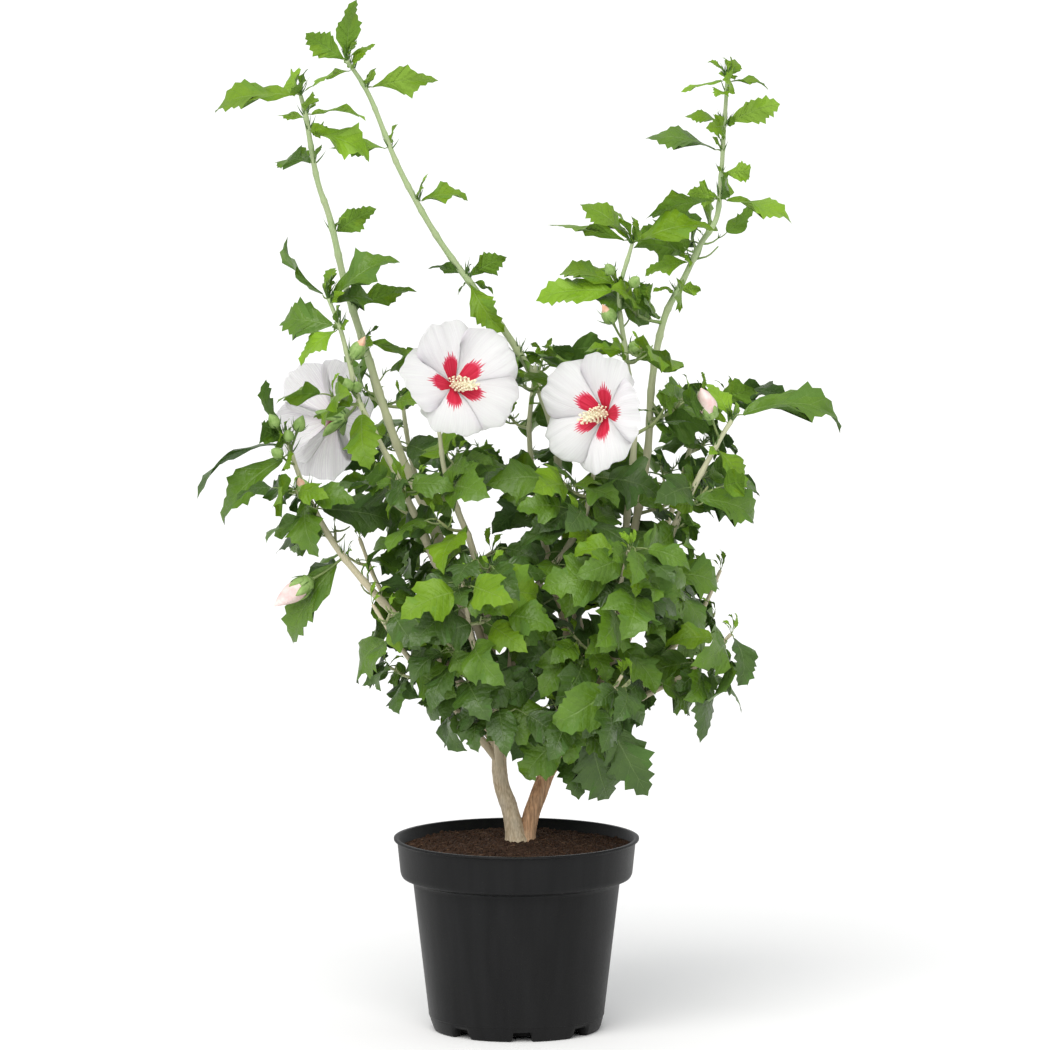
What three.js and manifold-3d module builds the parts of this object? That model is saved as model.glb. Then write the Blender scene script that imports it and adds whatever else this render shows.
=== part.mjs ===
// A rose of Sharon (Hibiscus syriacus) in its five-litre nursery pot, in millimetres.
// X is to the right, Y to the back and Z up; the pot's underside is centred on the origin.
// The pot holds the soil, the soil carries the trunk, and the trunk forks into two stems. Each
// shoot is a bough, one tapering limb, and the foliage mass that goes on from the bough's tip.
import * as THREE from "three";
import { mergeVertices } from "three/addons/utils/BufferGeometryUtils.js";
import Module from "manifold-3d";

const wasm = await Module();
wasm.setup();
const { Manifold, Mesh: SolidMesh } = wasm;

// ---------------------------------------------------------------- driving sizes
const GAP = 0.3; // clear space between neighbouring pieces
const STEM_GAP = 0.35; // along the shoot, between a bough's tip and the stem of its foliage
const DEG = Math.PI / 180;

const POT = {
  segments: 36,
  floorTop: 6,
  floorUnder: 3.5,
  padRadius: 24, // middle pad that stands on the ground
  footInner: 70,
  footOuter: 78,
  notches: 8,
  notchTurn: 4, // degrees from the front to the first notch, towards the right
  notchWidth: 18,
  notchDepth: 24,
  notchHeight: 9,
  notchInset: 3, // how far inside the foot ring a notch begins
};
// Outside of the pot above its feet, as [radius, height].
const POT_BODY = [[79.6, 4], [82.3, 15], [96.9, 138.5]];
const POT_COLLAR = [[98.2, 141.2], [107.2, 144.2], [108.8, 148], [111.9, 178], [115, 179.2], [115, 181]];
// Inside of the pot above its floor.
const POT_INSIDE = [[80.7, 15], [95.3, 138.5], [96.6, 142.9], [105.8, 146], [107.1, 149.2], [110.4, 181]];

const SOIL = { radius: 109, edge: 172, crown: 179, flatRadius: 22 };

const TRUNK = {
  foot: SOIL.crown + GAP,
  fork: 207,
  centre: [3.5, 1.5],
  flareRadius: 16.5,
  flareHeight: 9,
  neckRadius: 11,
  neckHeight: 16,
  waist: 2.5, // how far the neck draws in above the flare
  cutOff: 4, // what is cut off below the soil
  sides: 12,
  armSides: 10,
  parting: 0.35, // share of the way to the stem's foot at which an arm begins
  swell: [2.2, 0.8, 0], // how much thicker than its stem an arm is, along its length
};

const LIMB_SIDES = 7;
const STEM_SIDES = 5;
const TWIG_SIDES = 3;
const RING_STEP = 55; // length of limb between two rings

// Half outline of a leaf and of a petal, as shares of the blade's length [along, across].
const LEAF = { back: [0.16, 0.24], lobe: [0.6, 0.4], sinus: [0.66, 0.2], tip: [1, 0], rib: 0.46 };
const PETAL = { back: [0.3, 0.34], lobe: [0.78, 0.56], sinus: [1.0, 0.3], tip: [1.03, 0], rib: 0.55 };
const LEAF_THICK = 0.03; // of the blade's length, at the midrib
const STALK_SHARE = 0.21; // of a leaf's reach that is its stalk
const STALK_DEPTH = 1.8; // thickness of a leaf where it joins its twig
const PETAL_DEPTH = 4; // thickness of a petal at the flower's middle
const CROWD = 24; // least distance between the middles of two leaves
const LIMB_CLEAR = 3; // least distance between a leaf and the bark of a limb
const TURN = 137.5; // degrees round the stem from one leaf to the next
const CROWN_AXIS = [15, 0];
// The crown narrows towards its foot: no leaf in it reaches below this cone, which stands on a circle
// of that radius round the axis and rises outwards by the slope. Leaves that stand free may.
const SKIRT = { axis: [50, 0], radius: 100, height: 225, slope: 0.95 };
const LOW = 260; // height below which the leaves hang most
const HIGH = 680; // height above which they stand up most
const RISE = [-30, 22]; // degrees that a leaf rises, low and high in the crown
const RISE_SPREAD = 26;
const DROOP = [62, 26]; // degrees that a leaf bends over, low and high in the crown
const DROOP_SPREAD = 18;
const ROLL_SPREAD = 36;
const TWIG_GIRTH = [1.8, 1];
const TWIG_LEAVES = [[1, 0], [0.8, 62], [0.56, -62], [0.34, 70]]; // [share of the twig, degrees aside]
const TWIG_RISE = [15, 45];
const TWIG_BEND = 12; // degrees that a twig turns up on its way
// Points of a leaf's blade, [along, across], that have to keep clear of limbs and flowers.
const LEAF_TESTED = [[0.4, 0], [0.7, 0], [1, 0], [0.58, 0.33], [0.58, -0.33]];
const LEAF_TIP = 2; // which of them is the tip
const BLOOM_CLEAR = { ahead: 1.5, aside: 0.85 }; // clear space before a flower, of a petal's length

const BLOOM = {
  petal: 65,
  petalFoot: 5, // from the flower's middle to where a petal's blade begins
  spread: 66, // degrees from the flower's axis to a petal's foot
  bend: 22,
  column: 29,
  columnRadius: 3.2,
  calyx: 17,
  calyxRadius: 7.5,
};

// ---------------------------------------------------------------- limbs and shoots
// Routes are [x, y, z]. girth is the radius at the foot and at the tip.
const STEMS = [
  {
    name: "stem_left", girth: [7.6, 6.6],
    route: [[-6, 0, 207], [-14, 0, 231], [-16, 0, 253], [-14, 0, 272]],
  },
  {
    name: "stem_right", girth: [6.8, 5.6],
    route: [[16, 6, 207], [27, 10, 237], [41, 14, 258], [57, 18, 278]],
  },
];

// leafy: share of the route where the bough ends and its foliage begins. nodes: leaf nodes that the
// seeded rule makes from there up to the share upto. twig: longest side twig. reach: leaf length
// with its stalk. show: leaves that stand free of the crown, as [height, heading, rise, reach];
// headings are degrees from +X towards +Y.
const SHOOTS = [
  {
    name: "tall_leader", girth: [5.0, 1.9], leafy: 0.24, nodes: 5, upto: 0.5,
    twig: 60, reach: 74, turn: 60,
    route: [[56, 18, 272], [59, 50, 342], [52, 70, 429], [39, 75, 490], [37, 72, 547],
      [14, 66, 611], [-29, 58, 678], [-72, 48, 739], [-109, 38, 807], [-137, 28, 877],
      [-158, 20, 912]],
    show: [[912, 100, 82, 60], [910, 185, 35, 52], [908, 340, 50, 32], [902, 205, 0, 48],
      [884, 10, 18, 70], [826, 172, 15, 60], [775, 0, 25, 52], [778, 215, 58, 30],
      [776, 70, 66, 32], [703, 10, 35, 44], [705, 180, 30, 38], [700, 295, -38, 66],
      [632, 0, -8, 52], [628, 310, -45, 56]],
  },
  {
    name: "left_leader", girth: [5.4, 2.0], leafy: 0.26, nodes: 6, upto: 0.56,
    twig: 70, reach: 74, turn: 250,
    route: [[-14, 0, 266], [-22, 20, 318], [-28, 35, 363], [-43, 40, 410], [-71, 40, 457],
      [-111, 38, 545], [-141, 34, 638], [-160, 30, 700], [-174, 24, 762], [-186, 20, 800],
      [-196, 14, 858], [-201, 10, 880]],
    show: [[880, 180, 5, 88], [879, 0, 36, 48], [880, 95, 68, 28], [860, 350, 20, 62],
      [858, 195, 20, 32], [802, 235, 22, 56], [743, 30, 25, 44], [668, 5, 20, 66],
      [670, 65, 60, 30], [638, 352, -14, 58]],
  },
  {
    name: "left_bloom", girth: [4.4, 1.8], leafy: 0.34, nodes: 5, upto: 0.74,
    twig: 60, reach: 74, turn: 20,
    route: [[-18, 8, 292], [-26, -15, 330], [-36, -25, 382], [-54, -30, 410], [-76, -34, 447],
      [-95, -36, 492], [-115, -36, 536], [-145, -32, 595], [-156, -28, 635], [-164, -25, 665],
      [-175, -20, 693]],
    show: [[693, 180, 38, 70], [693, 100, 65, 36], [691, 0, 36, 78], [688, 20, 20, 48],
      [665, 205, -18, 54], [668, 175, 10, 66], [590, 262, -34, 66]],
  },
  {
    name: "left_arching", girth: [4.6, 1.9], leafy: 0.4, nodes: 5, upto: 0.8,
    twig: 55, reach: 78, turn: 110,
    route: [[-15, 0, 258], [-38, -20, 308], [-72, -30, 357], [-116, -35, 400], [-162, -36, 453],
      [-186, -34, 492], [-203, -30, 529], [-214, -26, 561]],
    show: [[561, 180, 50, 64], [560, 205, 22, 46], [556, 182, 0, 92], [545, 222, -30, 86],
      [512, 262, -28, 78], [497, 352, 0, 86], [520, 40, 30, 50], [452, 232, -50, 88]],
  },
  {
    name: "middle_left_bloom", girth: [4.2, 1.9], leafy: 0.3, nodes: 8, upto: 0.9,
    twig: 60, reach: 76, turn: 300,
    route: [[-22, 18, 312], [-25, -45, 385], [-40, -50, 458], [-55, -50, 499], [-67, -48, 536],
      [-72, -46, 572]],
    show: [],
  },
  {
    name: "middle_right_bloom", girth: [4.2, 1.9], leafy: 0.3, nodes: 8, upto: 0.9,
    twig: 60, reach: 76, turn: 75,
    route: [[-14, 0, 262], [-6, -12, 323], [-2, -22, 371], [14, -28, 415], [46, -34, 459],
      [63, -38, 489], [71, -40, 526], [75, -42, 552]],
    show: [],
  },
  {
    name: "right_middle", girth: [5.0, 1.8], leafy: 0.4, nodes: 8, upto: 0.86,
    twig: 62, reach: 74, turn: 160,
    route: [[57, 18, 272], [83, 10, 320], [93, 4, 368], [94, 0, 416], [99, 0, 444], [105, -2, 501],
      [110, -2, 567], [103, 0, 633], [96, 4, 692], [108, 8, 741]],
    show: [[741, 180, 3, 84], [741, 172, 35, 62], [740, 5, 16, 86], [742, 60, 60, 32],
      [692, 188, -12, 82], [700, 172, 20, 66]],
  },
  {
    name: "right_leader", girth: [4.2, 1.8], leafy: 0.14, nodes: 7, upto: 0.62,
    twig: 62, reach: 74, turn: 10,
    route: [[94, 4, 412], [104, 16, 442], [114, 24, 488], [123, 30, 544], [127, 34, 609],
      [138, 36, 666], [156, 38, 703], [172, 40, 736], [187, 42, 761], [191, 42, 797],
      [194, 42, 844], [197, 42, 893]],
    show: [[893, 170, 30, 38], [893, 50, 42, 34], [892, 285, 28, 36], [891, 5, 10, 40],
      [849, 185, 20, 40], [849, 5, 24, 58], [846, 265, 10, 44], [806, 180, 30, 76],
      [801, 205, 5, 50], [773, 355, -15, 72], [772, 190, -15, 84], [777, 300, 42, 44],
      [720, 188, -3, 48], [684, 300, -14, 66]],
  },
  {
    name: "right_arching", girth: [4.6, 1.9], leafy: 0.34, nodes: 6, upto: 0.72,
    twig: 60, reach: 76, turn: 200,
    route: [[82, 10, 316], [97, -6, 355], [113, -12, 392], [132, -16, 430], [148, -18, 479],
      [169, -18, 522], [191, -16, 562], [201, -14, 578]],
    show: [[578, 0, 24, 116], [577, 150, 68, 46], [574, 192, 40, 46], [552, 345, -38, 52],
      [505, 0, -2, 80], [481, 255, -25, 78], [432, 5, 5, 72], [428, 345, -25, 76]],
  },
  {
    name: "back_right", girth: [4.4, 1.8], leafy: 0.3, nodes: 9, upto: 1,
    twig: 66, reach: 76, turn: 330,
    route: [[72, 14, 300], [88, 50, 345], [115, 80, 405], [142, 95, 465], [162, 98, 530],
      [172, 92, 590]],
    show: [],
  },
  {
    name: "back_middle", girth: [4.4, 1.8], leafy: 0.3, nodes: 9, upto: 1,
    twig: 66, reach: 76, turn: 40,
    route: [[58, 40, 322], [46, 70, 370], [30, 98, 430], [18, 115, 490], [12, 118, 550],
      [18, 112, 612]],
    show: [],
  },
  {
    name: "back_left", girth: [4.4, 1.8], leafy: 0.3, nodes: 9, upto: 1,
    twig: 66, reach: 76, turn: 190,
    route: [[-20, 14, 302], [-38, 50, 350], [-62, 85, 410], [-84, 104, 470], [-100, 106, 530],
      [-108, 98, 585]],
    show: [],
  },
  {
    name: "low_right", girth: [3.8, 1.6], leafy: 0.3, nodes: 8, upto: 1,
    twig: 52, reach: 80, turn: 280,
    route: [[52, 17, 270], [90, -5, 300], [130, -28, 325], [170, -42, 350], [200, -42, 380]],
    show: [],
  },
  {
    name: "low_back_right", girth: [3.8, 1.6], leafy: 0.3, nodes: 8, upto: 1,
    twig: 52, reach: 80, turn: 80,
    route: [[56, 18, 276], [95, 48, 308], [138, 76, 340], [172, 92, 378], [192, 96, 420]],
    show: [],
  },
  {
    name: "low_left", girth: [3.8, 1.6], leafy: 0.3, nodes: 8, upto: 1,
    twig: 52, reach: 78, turn: 230,
    route: [[-16, 0, 252], [-45, -18, 292], [-82, -40, 335], [-112, -52, 375], [-134, -54, 410]],
    show: [],
  },
  {
    name: "low_back_left", girth: [3.8, 1.6], leafy: 0.3, nodes: 8, upto: 1,
    twig: 52, reach: 78, turn: 130,
    route: [[-18, 8, 282], [-52, 38, 318], [-92, 72, 356], [-128, 94, 402], [-148, 100, 450]],
    show: [],
  },
  {
    name: "low_front", girth: [3.8, 1.6], leafy: 0.3, nodes: 8, upto: 1,
    twig: 50, reach: 80, turn: 260,
    route: [[32, 11, 246], [44, -25, 272], [62, -64, 298], [82, -98, 322], [98, -112, 352]],
    show: [],
  },
  {
    name: "low_back", girth: [3.8, 1.6], leafy: 0.3, nodes: 8, upto: 1,
    twig: 52, reach: 80, turn: 100,
    route: [[38, 13, 256], [38, 50, 290], [30, 92, 325], [20, 122, 365], [14, 134, 410]],
    show: [],
  },
  {
    name: "front_left", girth: [3.8, 1.6], leafy: 0.3, nodes: 9, upto: 1,
    twig: 54, reach: 78, turn: 290,
    route: [[-15, 0, 246], [-20, -36, 288], [-30, -76, 335], [-42, -104, 388], [-50, -112, 440]],
    show: [],
  },
  {
    name: "front_right", girth: [3.8, 1.6], leafy: 0.3, nodes: 9, upto: 1,
    twig: 54, reach: 78, turn: 250,
    route: [[46, 15, 262], [58, -20, 312], [78, -58, 365], [92, -90, 415], [104, -102, 468]],
    show: [],
  },
];

// Open flowers, as the shoot that carries each, its middle, the way it faces, and its first petal's
// turn in degrees. from is the height on the shoot that the stalk leaves, where it isn't the tip.
const BLOOMS = [
  { shoot: "middle_left_bloom", centre: [-59, -76, 618], faces: [0.35, -0.84, 0.42], turn: 33 },
  { shoot: "middle_right_bloom", centre: [84, -76, 592], faces: [-0.56, -0.8, 0.2], turn: 5 },
  { shoot: "left_bloom", centre: [-168, 8, 577], faces: [-0.6, 0.79, -0.12], turn: 20, from: 600 },
];
// Swollen buds: the shoot, the height they start from on it, the bud's tip, its length and its girth.
const BUDS = [
  { shoot: "right_arching", from: 560, tip: [172, -44, 612], length: 36, radius: 8 },
  { shoot: "left_arching", from: 452, tip: [-226, -50, 408], length: 44, radius: 8.5 },
  { shoot: "left_bloom", from: 632, tip: [-141, -40, 660], length: 26, radius: 7 },
  { shoot: "left_arching", from: 500, tip: [-203, -62, 530], length: 24, radius: 7 },
  { shoot: "right_middle", from: 640, tip: [121, -22, 652], length: 24, radius: 6.5 },
  { shoot: "right_middle", from: 650, tip: [80, -22, 688], length: 24, radius: 6.5 },
];

// ---------------------------------------------------------------- helpers
const vec = (p) => new THREE.Vector3(...p);
const mix = (a, b, t) => a + (b - a) * t;

// A number from 0 to 1 that looks random and is the same each time.
function noise(n) {
  const v = Math.sin(n * 12.9898) * 43758.5453;
  return v - Math.floor(v);
}

function curveOf(route) {
  return new THREE.CatmullRomCurve3(route.map(vec), false, "catmullrom", 0.5);
}

// Share of a rising curve at which it reaches a height.
function shareAt(curve, height) {
  let low = 0;
  let high = 1;
  for (let i = 0; i < 30; i++) {
    const middle = (low + high) / 2;
    if (curve.getPoint(middle).z < height) low = middle;
    else high = middle;
  }
  return low;
}

function solidOf(positions, faces) {
  const mesh = new SolidMesh({
    numProp: 3,
    vertProperties: new Float32Array(positions.flat()),
    triVerts: new Uint32Array(faces.flat()),
  });
  return new Manifold(mesh);
}

// A closed tube through the points, with a radius at each and flat ends. grow makes it wider and
// longer by that much, to cut clear space for it.
function tube(points, radii, sides, grow = 0, tangents = []) {
  const positions = [];
  const faces = [];
  const last = points.length - 1;
  let normal = new THREE.Vector3(1, 0.2, 0.1);
  points.forEach((point, i) => {
    const before = points[Math.max(i - 1, 0)];
    const after = points[Math.min(i + 1, last)];
    const ahead = tangents[i] ?? after.clone().sub(before).normalize();
    normal = normal.clone().addScaledVector(ahead, -normal.dot(ahead)).normalize();
    const side = ahead.clone().cross(normal);
    const centre = point.clone();
    if (i === 0) centre.addScaledVector(ahead, -grow);
    if (i === last) centre.addScaledVector(ahead, grow);
    for (let k = 0; k < sides; k++) {
      const angle = (2 * Math.PI * k) / sides;
      const out = normal.clone().multiplyScalar(Math.cos(angle)).addScaledVector(side, Math.sin(angle));
      positions.push(centre.clone().addScaledVector(out, radii[i] + grow).toArray());
    }
  });
  for (let i = 0; i < last; i++) {
    for (let k = 0; k < sides; k++) {
      const a = i * sides + k;
      const b = i * sides + ((k + 1) % sides);
      faces.push([a, b, b + sides], [a, b + sides, a + sides]);
    }
  }
  for (let k = 1; k < sides - 1; k++) {
    faces.push([0, k + 1, k], [last * sides, last * sides + k, last * sides + k + 1]);
  }
  return solidOf(positions, faces);
}

// The part of a tapering limb between two shares of its curve.
function limb(curve, girth, from, to, sides, grow = 0) {
  const rings = Math.max(1, Math.round((curve.getLength() * (to - from)) / RING_STEP));
  const shares = Array.from({ length: rings + 1 }, (_, i) => mix(from, to, i / rings));
  const points = shares.map((t) => curve.getPoint(t));
  const radii = shares.map((t) => mix(girth[0], girth[1], t));
  return tube(points, radii, sides, grow, shares.map((t) => curve.getTangent(t)));
}

// The body that is left of a solid when its loose scraps and sealed hollows are dropped.
function mainBody(solid) {
  const bodies = solid.decompose();
  return bodies.reduce((best, body) => (body.volume() > best.volume() ? body : best));
}

// The solid that a closed geometry bounds, with its shared corners merged.
function solidFrom(geometry) {
  geometry.deleteAttribute("normal");
  geometry.deleteAttribute("uv");
  const merged = mergeVertices(geometry, 1e-4);
  const corners = Array.from(merged.index.array);
  const faces = Array.from({ length: corners.length / 3 }, (_, i) => corners.slice(3 * i, 3 * i + 3));
  const { position } = merged.attributes;
  const cornerAt = (_, i) => [position.getX(i), position.getY(i), position.getZ(i)];
  const whole = faces.filter(([a, b, c]) => a !== b && b !== c && c !== a);
  return solidOf(Array.from({ length: position.count }, cornerAt), whole);
}

// A solid of revolution about Z. The profile [radius, height] leaves the axis at its foot, goes
// round the outside first and comes back to the axis.
function lathe(profile, segments) {
  const points = profile.map(([radius, height]) => new THREE.Vector2(radius, height));
  return solidFrom(new THREE.LatheGeometry(points, segments).rotateX(90 * DEG));
}

const part = new THREE.Group();
const MATERIALS = {
  pot: new THREE.MeshStandardMaterial({ color: 0x17181a, roughness: 0.55, metalness: 0 }),
  soil: new THREE.MeshStandardMaterial({ color: 0x2b1c14, roughness: 1, metalness: 0 }),
  bark: new THREE.MeshStandardMaterial({ color: 0x9b8a6b, roughness: 0.9, metalness: 0 }),
  foliage: new THREE.MeshStandardMaterial({ color: 0x3f6b34, roughness: 0.6, metalness: 0 }),
};

function addNode(name, solid, material) {
  const mesh = solid.getMesh();
  const geometry = new THREE.BufferGeometry();
  geometry.setAttribute("position", new THREE.BufferAttribute(mesh.vertProperties, 3));
  geometry.setIndex(new THREE.BufferAttribute(mesh.triVerts, 1));
  geometry.computeVertexNormals();
  const node = new THREE.Mesh(geometry, material.clone());
  node.name = name;
  part.add(node);
}

// ---------------------------------------------------------------- pot and soil
function potSolid() {
  const outside = [[0, 0], [POT.padRadius, 0], [POT.padRadius + 2, POT.floorUnder],
    [POT.footInner, POT.floorUnder], [POT.footInner + 1, 0], [POT.footOuter, 0],
    ...POT_BODY, ...POT_COLLAR];
  const inside = [[0, POT.floorTop], [POT.footOuter, POT.floorTop], ...POT_INSIDE].reverse();
  const shell = lathe([...outside, ...inside], POT.segments);
  const notches = Array.from({ length: POT.notches }, (_, k) => {
    const angle = POT.notchTurn - 90 + (360 / POT.notches) * k;
    const block = new THREE.BoxGeometry(POT.notchDepth, POT.notchWidth, 2 * POT.notchHeight);
    block.translate(POT.footInner - POT.notchInset + POT.notchDepth / 2, 0, 0);
    return solidFrom(block.rotateZ(angle * DEG));
  });
  return shell.subtract(Manifold.union(notches));
}

function soilSolid() {
  const side = POT_INSIDE.slice(0, -1).map(([r, z]) => [r - GAP, z + GAP]);
  const under = POT.floorTop + GAP;
  const top = [[SOIL.radius, SOIL.edge], [70, SOIL.edge + 2], [40, SOIL.crown - 1.5],
    [SOIL.flatRadius, SOIL.crown], [0, SOIL.crown]];
  return lathe([[0, under], [POT.footOuter - GAP, under], ...side, ...top], POT.segments);
}

addNode("pot", potSolid(), MATERIALS.pot);
addNode("soil", soilSolid(), MATERIALS.soil);

// ---------------------------------------------------------------- trunk, stems and boughs
const limbs = []; // { name, solid, wide: the same limb with its clear space }

function addLimb(name, solid, wide) {
  const clear = limbs.reduce((rest, other) => rest.subtract(other.wide), solid);
  const body = mainBody(clear);
  limbs.push({ name, solid: body, wide });
  addNode(name, body, MATERIALS.bark);
}

// The flared foot and the two arms of the fork, cut off flat at the soil.
function trunkSolid(grow) {
  const [x, y] = TRUNK.centre;
  const heights = [-TRUNK.cutOff, 0, TRUNK.flareHeight, TRUNK.neckHeight];
  const radii = [TRUNK.flareRadius, TRUNK.flareRadius, TRUNK.neckRadius, TRUNK.neckRadius - TRUNK.waist];
  const axis = heights.map((height) => vec([x, y, TRUNK.foot + height]));
  const flare = tube(axis, radii, TRUNK.sides, grow);
  const arms = STEMS.map(({ route, girth }) => {
    const top = vec(route[0]);
    top.z = TRUNK.fork - GAP;
    const start = new THREE.Vector3(mix(x, top.x, TRUNK.parting), mix(y, top.y, TRUNK.parting), TRUNK.foot);
    const thick = TRUNK.swell.map((more) => girth[0] + more);
    return tube([start, start.clone().lerp(top, 0.5), top], thick, TRUNK.armSides, grow);
  });
  return Manifold.union([flare, ...arms]).trimByPlane([0, 0, 1], TRUNK.foot - grow);
}

addLimb("trunk", trunkSolid(0), trunkSolid(GAP));

for (const { name, route, girth } of STEMS) {
  const curve = curveOf(route);
  addLimb(name, limb(curve, girth, 0, 1, LIMB_SIDES), limb(curve, girth, 0, 1, LIMB_SIDES, GAP));
}
for (const shoot of SHOOTS) {
  shoot.curve = curveOf(shoot.route);
  const whole = [shoot.curve, shoot.girth, 0, shoot.leafy, LIMB_SIDES];
  addLimb("bough_" + shoot.name, limb(...whole), limb(...whole, GAP));
}

// ---------------------------------------------------------------- leaves
// A leaf's frame: it leaves the point at with a heading and a rise in degrees, its face turns up
// and away from the crown's axis, and its blade bends away from its face along an arc.
function leafFrame({ at, heading, rise, reach, droop, roll }) {
  const h = heading * DEG;
  const r = rise * DEG;
  const ahead = new THREE.Vector3(Math.cos(h) * Math.cos(r), Math.sin(h) * Math.cos(r), Math.sin(r));
  const out = new THREE.Vector3(at.x - CROWN_AXIS[0], at.y - CROWN_AXIS[1], 0).multiplyScalar(1 / 80);
  if (out.length() > 1.3) out.setLength(1.3);
  const face = new THREE.Vector3(0, 0, 0.7).add(out);
  face.addScaledVector(ahead, -face.dot(ahead)).normalize();
  const side = face.clone().cross(ahead);
  const turned = face.clone().multiplyScalar(Math.cos(roll * DEG));
  turned.addScaledVector(side, Math.sin(roll * DEG));
  const stalk = reach * STALK_SHARE;
  return {
    ahead,
    face: turned,
    side: turned.clone().cross(ahead),
    base: at.clone().addScaledVector(ahead, stalk),
    length: reach - stalk,
    bend: droop * DEG,
  };
}

// A point on a blade: along and across are shares of its length, up is in millimetres.
function onBlade(frame, along, across, up) {
  const angle = frame.bend * along;
  const forward = Math.sin(angle) / frame.bend;
  const down = (1 - Math.cos(angle)) / frame.bend;
  const point = frame.base.clone();
  point.addScaledVector(frame.ahead, frame.length * forward + up * Math.sin(angle));
  point.addScaledVector(frame.face, up * Math.cos(angle) - frame.length * down);
  const sag = 0.35 * across * across * frame.length;
  return point.addScaledVector(frame.side, across * frame.length).addScaledVector(frame.face, -sag);
}

// A closed leaf or petal that widens from its root to its blade. It is thickest along its midrib and
// thin at its edge.
function bladeSolid(outline, root, frame, rootDepth) {
  const half = [outline.back, outline.lobe, outline.sinus];
  const edge = [...half, outline.tip, ...half.map(([along, across]) => [along, -across])];
  const thick = (LEAF_THICK * frame.length) / 2;
  const points = [
    root.clone().addScaledVector(frame.face, rootDepth / 2),
    root.clone().addScaledVector(frame.face, -rootDepth / 2),
    ...edge.map(([along, across]) => onBlade(frame, along, across, 0)),
    onBlade(frame, outline.rib, 0, thick),
    onBlade(frame, outline.rib, 0, -thick),
  ];
  const [upperRoot, lowerRoot, tip, upperRib, lowerRib] = [0, 1, 5, 9, 10];
  const faces = [];
  for (const [back, left] of [[2, false], [6, true]]) {
    const [lobe, sinus] = [back + 1, back + 2];
    const fan = (foot, rib) =>
      [[foot, rib, back], [back, rib, lobe], [lobe, rib, sinus], [sinus, rib, tip]];
    const turn = ([a, b, c], over) => (over ? [a, c, b] : [a, b, c]);
    faces.push(...fan(upperRoot, upperRib).map((face) => turn(face, left)));
    faces.push(...fan(lowerRoot, lowerRib).map((face) => turn(face, !left)));
    faces.push(turn([upperRoot, back, lowerRoot], left));
  }
  return solidOf(points.map((point) => point.toArray()), faces);
}

// ---------------------------------------------------------------- where the leaves grow
const barkPoints = []; // [point, radius] along every limb and twig
const leafMiddles = [];

function lineWithBark(curve, girth) {
  const steps = Math.ceil(curve.getLength() / 8);
  for (let i = 0; i <= steps; i++) barkPoints.push([curve.getPoint(i / steps), mix(...girth, i / steps)]);
}

const clearOfBark = (point, room) => barkPoints.every(([p, r]) => p.distanceTo(point) > r + room);

// Flowers look out of the crown, so no leaf grows in front of one.
function clearOfBlooms(point) {
  return BLOOMS.every(({ centre, faces }) => {
    const ahead = vec(faces).normalize();
    const offset = point.clone().sub(vec(centre));
    const depth = THREE.MathUtils.clamp(offset.dot(ahead), 0, BLOOM.petal * BLOOM_CLEAR.ahead);
    return offset.addScaledVector(ahead, -depth).length() > BLOOM.petal * BLOOM_CLEAR.aside;
  });
}

function aboveSkirt(point) {
  const [x, y] = SKIRT.axis;
  const away = Math.hypot(point.x - x, point.y - y) - SKIRT.radius;
  return point.z > SKIRT.height + SKIRT.slope * Math.max(away, 0);
}

// A leaf joins its shoot if it keeps clear of limbs, flowers and the leaves before it, and stays in
// the crown's outline where it doesn't stand free.
function addLeaf(shoot, at, heading, rise, reach, seed, free = false) {
  const leaf = { at, heading, rise, reach, roll: ROLL_SPREAD * (noise(seed + 0.7) - 0.5) };
  leaf.droop = mix(...DROOP, heightShare(at)) + DROOP_SPREAD * noise(seed + 0.9);
  leaf.frame = leafFrame(leaf);
  const points = LEAF_TESTED.map(([along, across]) => onBlade(leaf.frame, along, across, 0));
  const middle = onBlade(leaf.frame, 0.5, 0, 0);
  const crowded = leafMiddles.some((other) => other.distanceTo(middle) < CROWD);
  if (crowded || !(free || aboveSkirt(points[LEAF_TIP]))) return;
  if (!points.every((p) => clearOfBark(p, LIMB_CLEAR) && clearOfBlooms(p))) return;
  leafMiddles.push(middle);
  shoot.leaves.push(leaf);
}

// How high a point is in the crown, from 0 at its foot to 1 near its top.
const heightShare = (at) => THREE.MathUtils.clamp((at.z - LOW) / (HIGH - LOW), 0, 1);

function direction(heading, rise) {
  const h = heading * DEG;
  const r = rise * DEG;
  return new THREE.Vector3(Math.cos(h) * Math.cos(r), Math.sin(h) * Math.cos(r), Math.sin(r));
}

// A heading turned part of the way towards the outside of the crown.
function outward(at, heading) {
  const out = new THREE.Vector3(at.x - CROWN_AXIS[0], at.y - CROWN_AXIS[1], 0).multiplyScalar(1 / 200);
  out.add(direction(heading, 0));
  return Math.atan2(out.y, out.x) / DEG;
}

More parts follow.
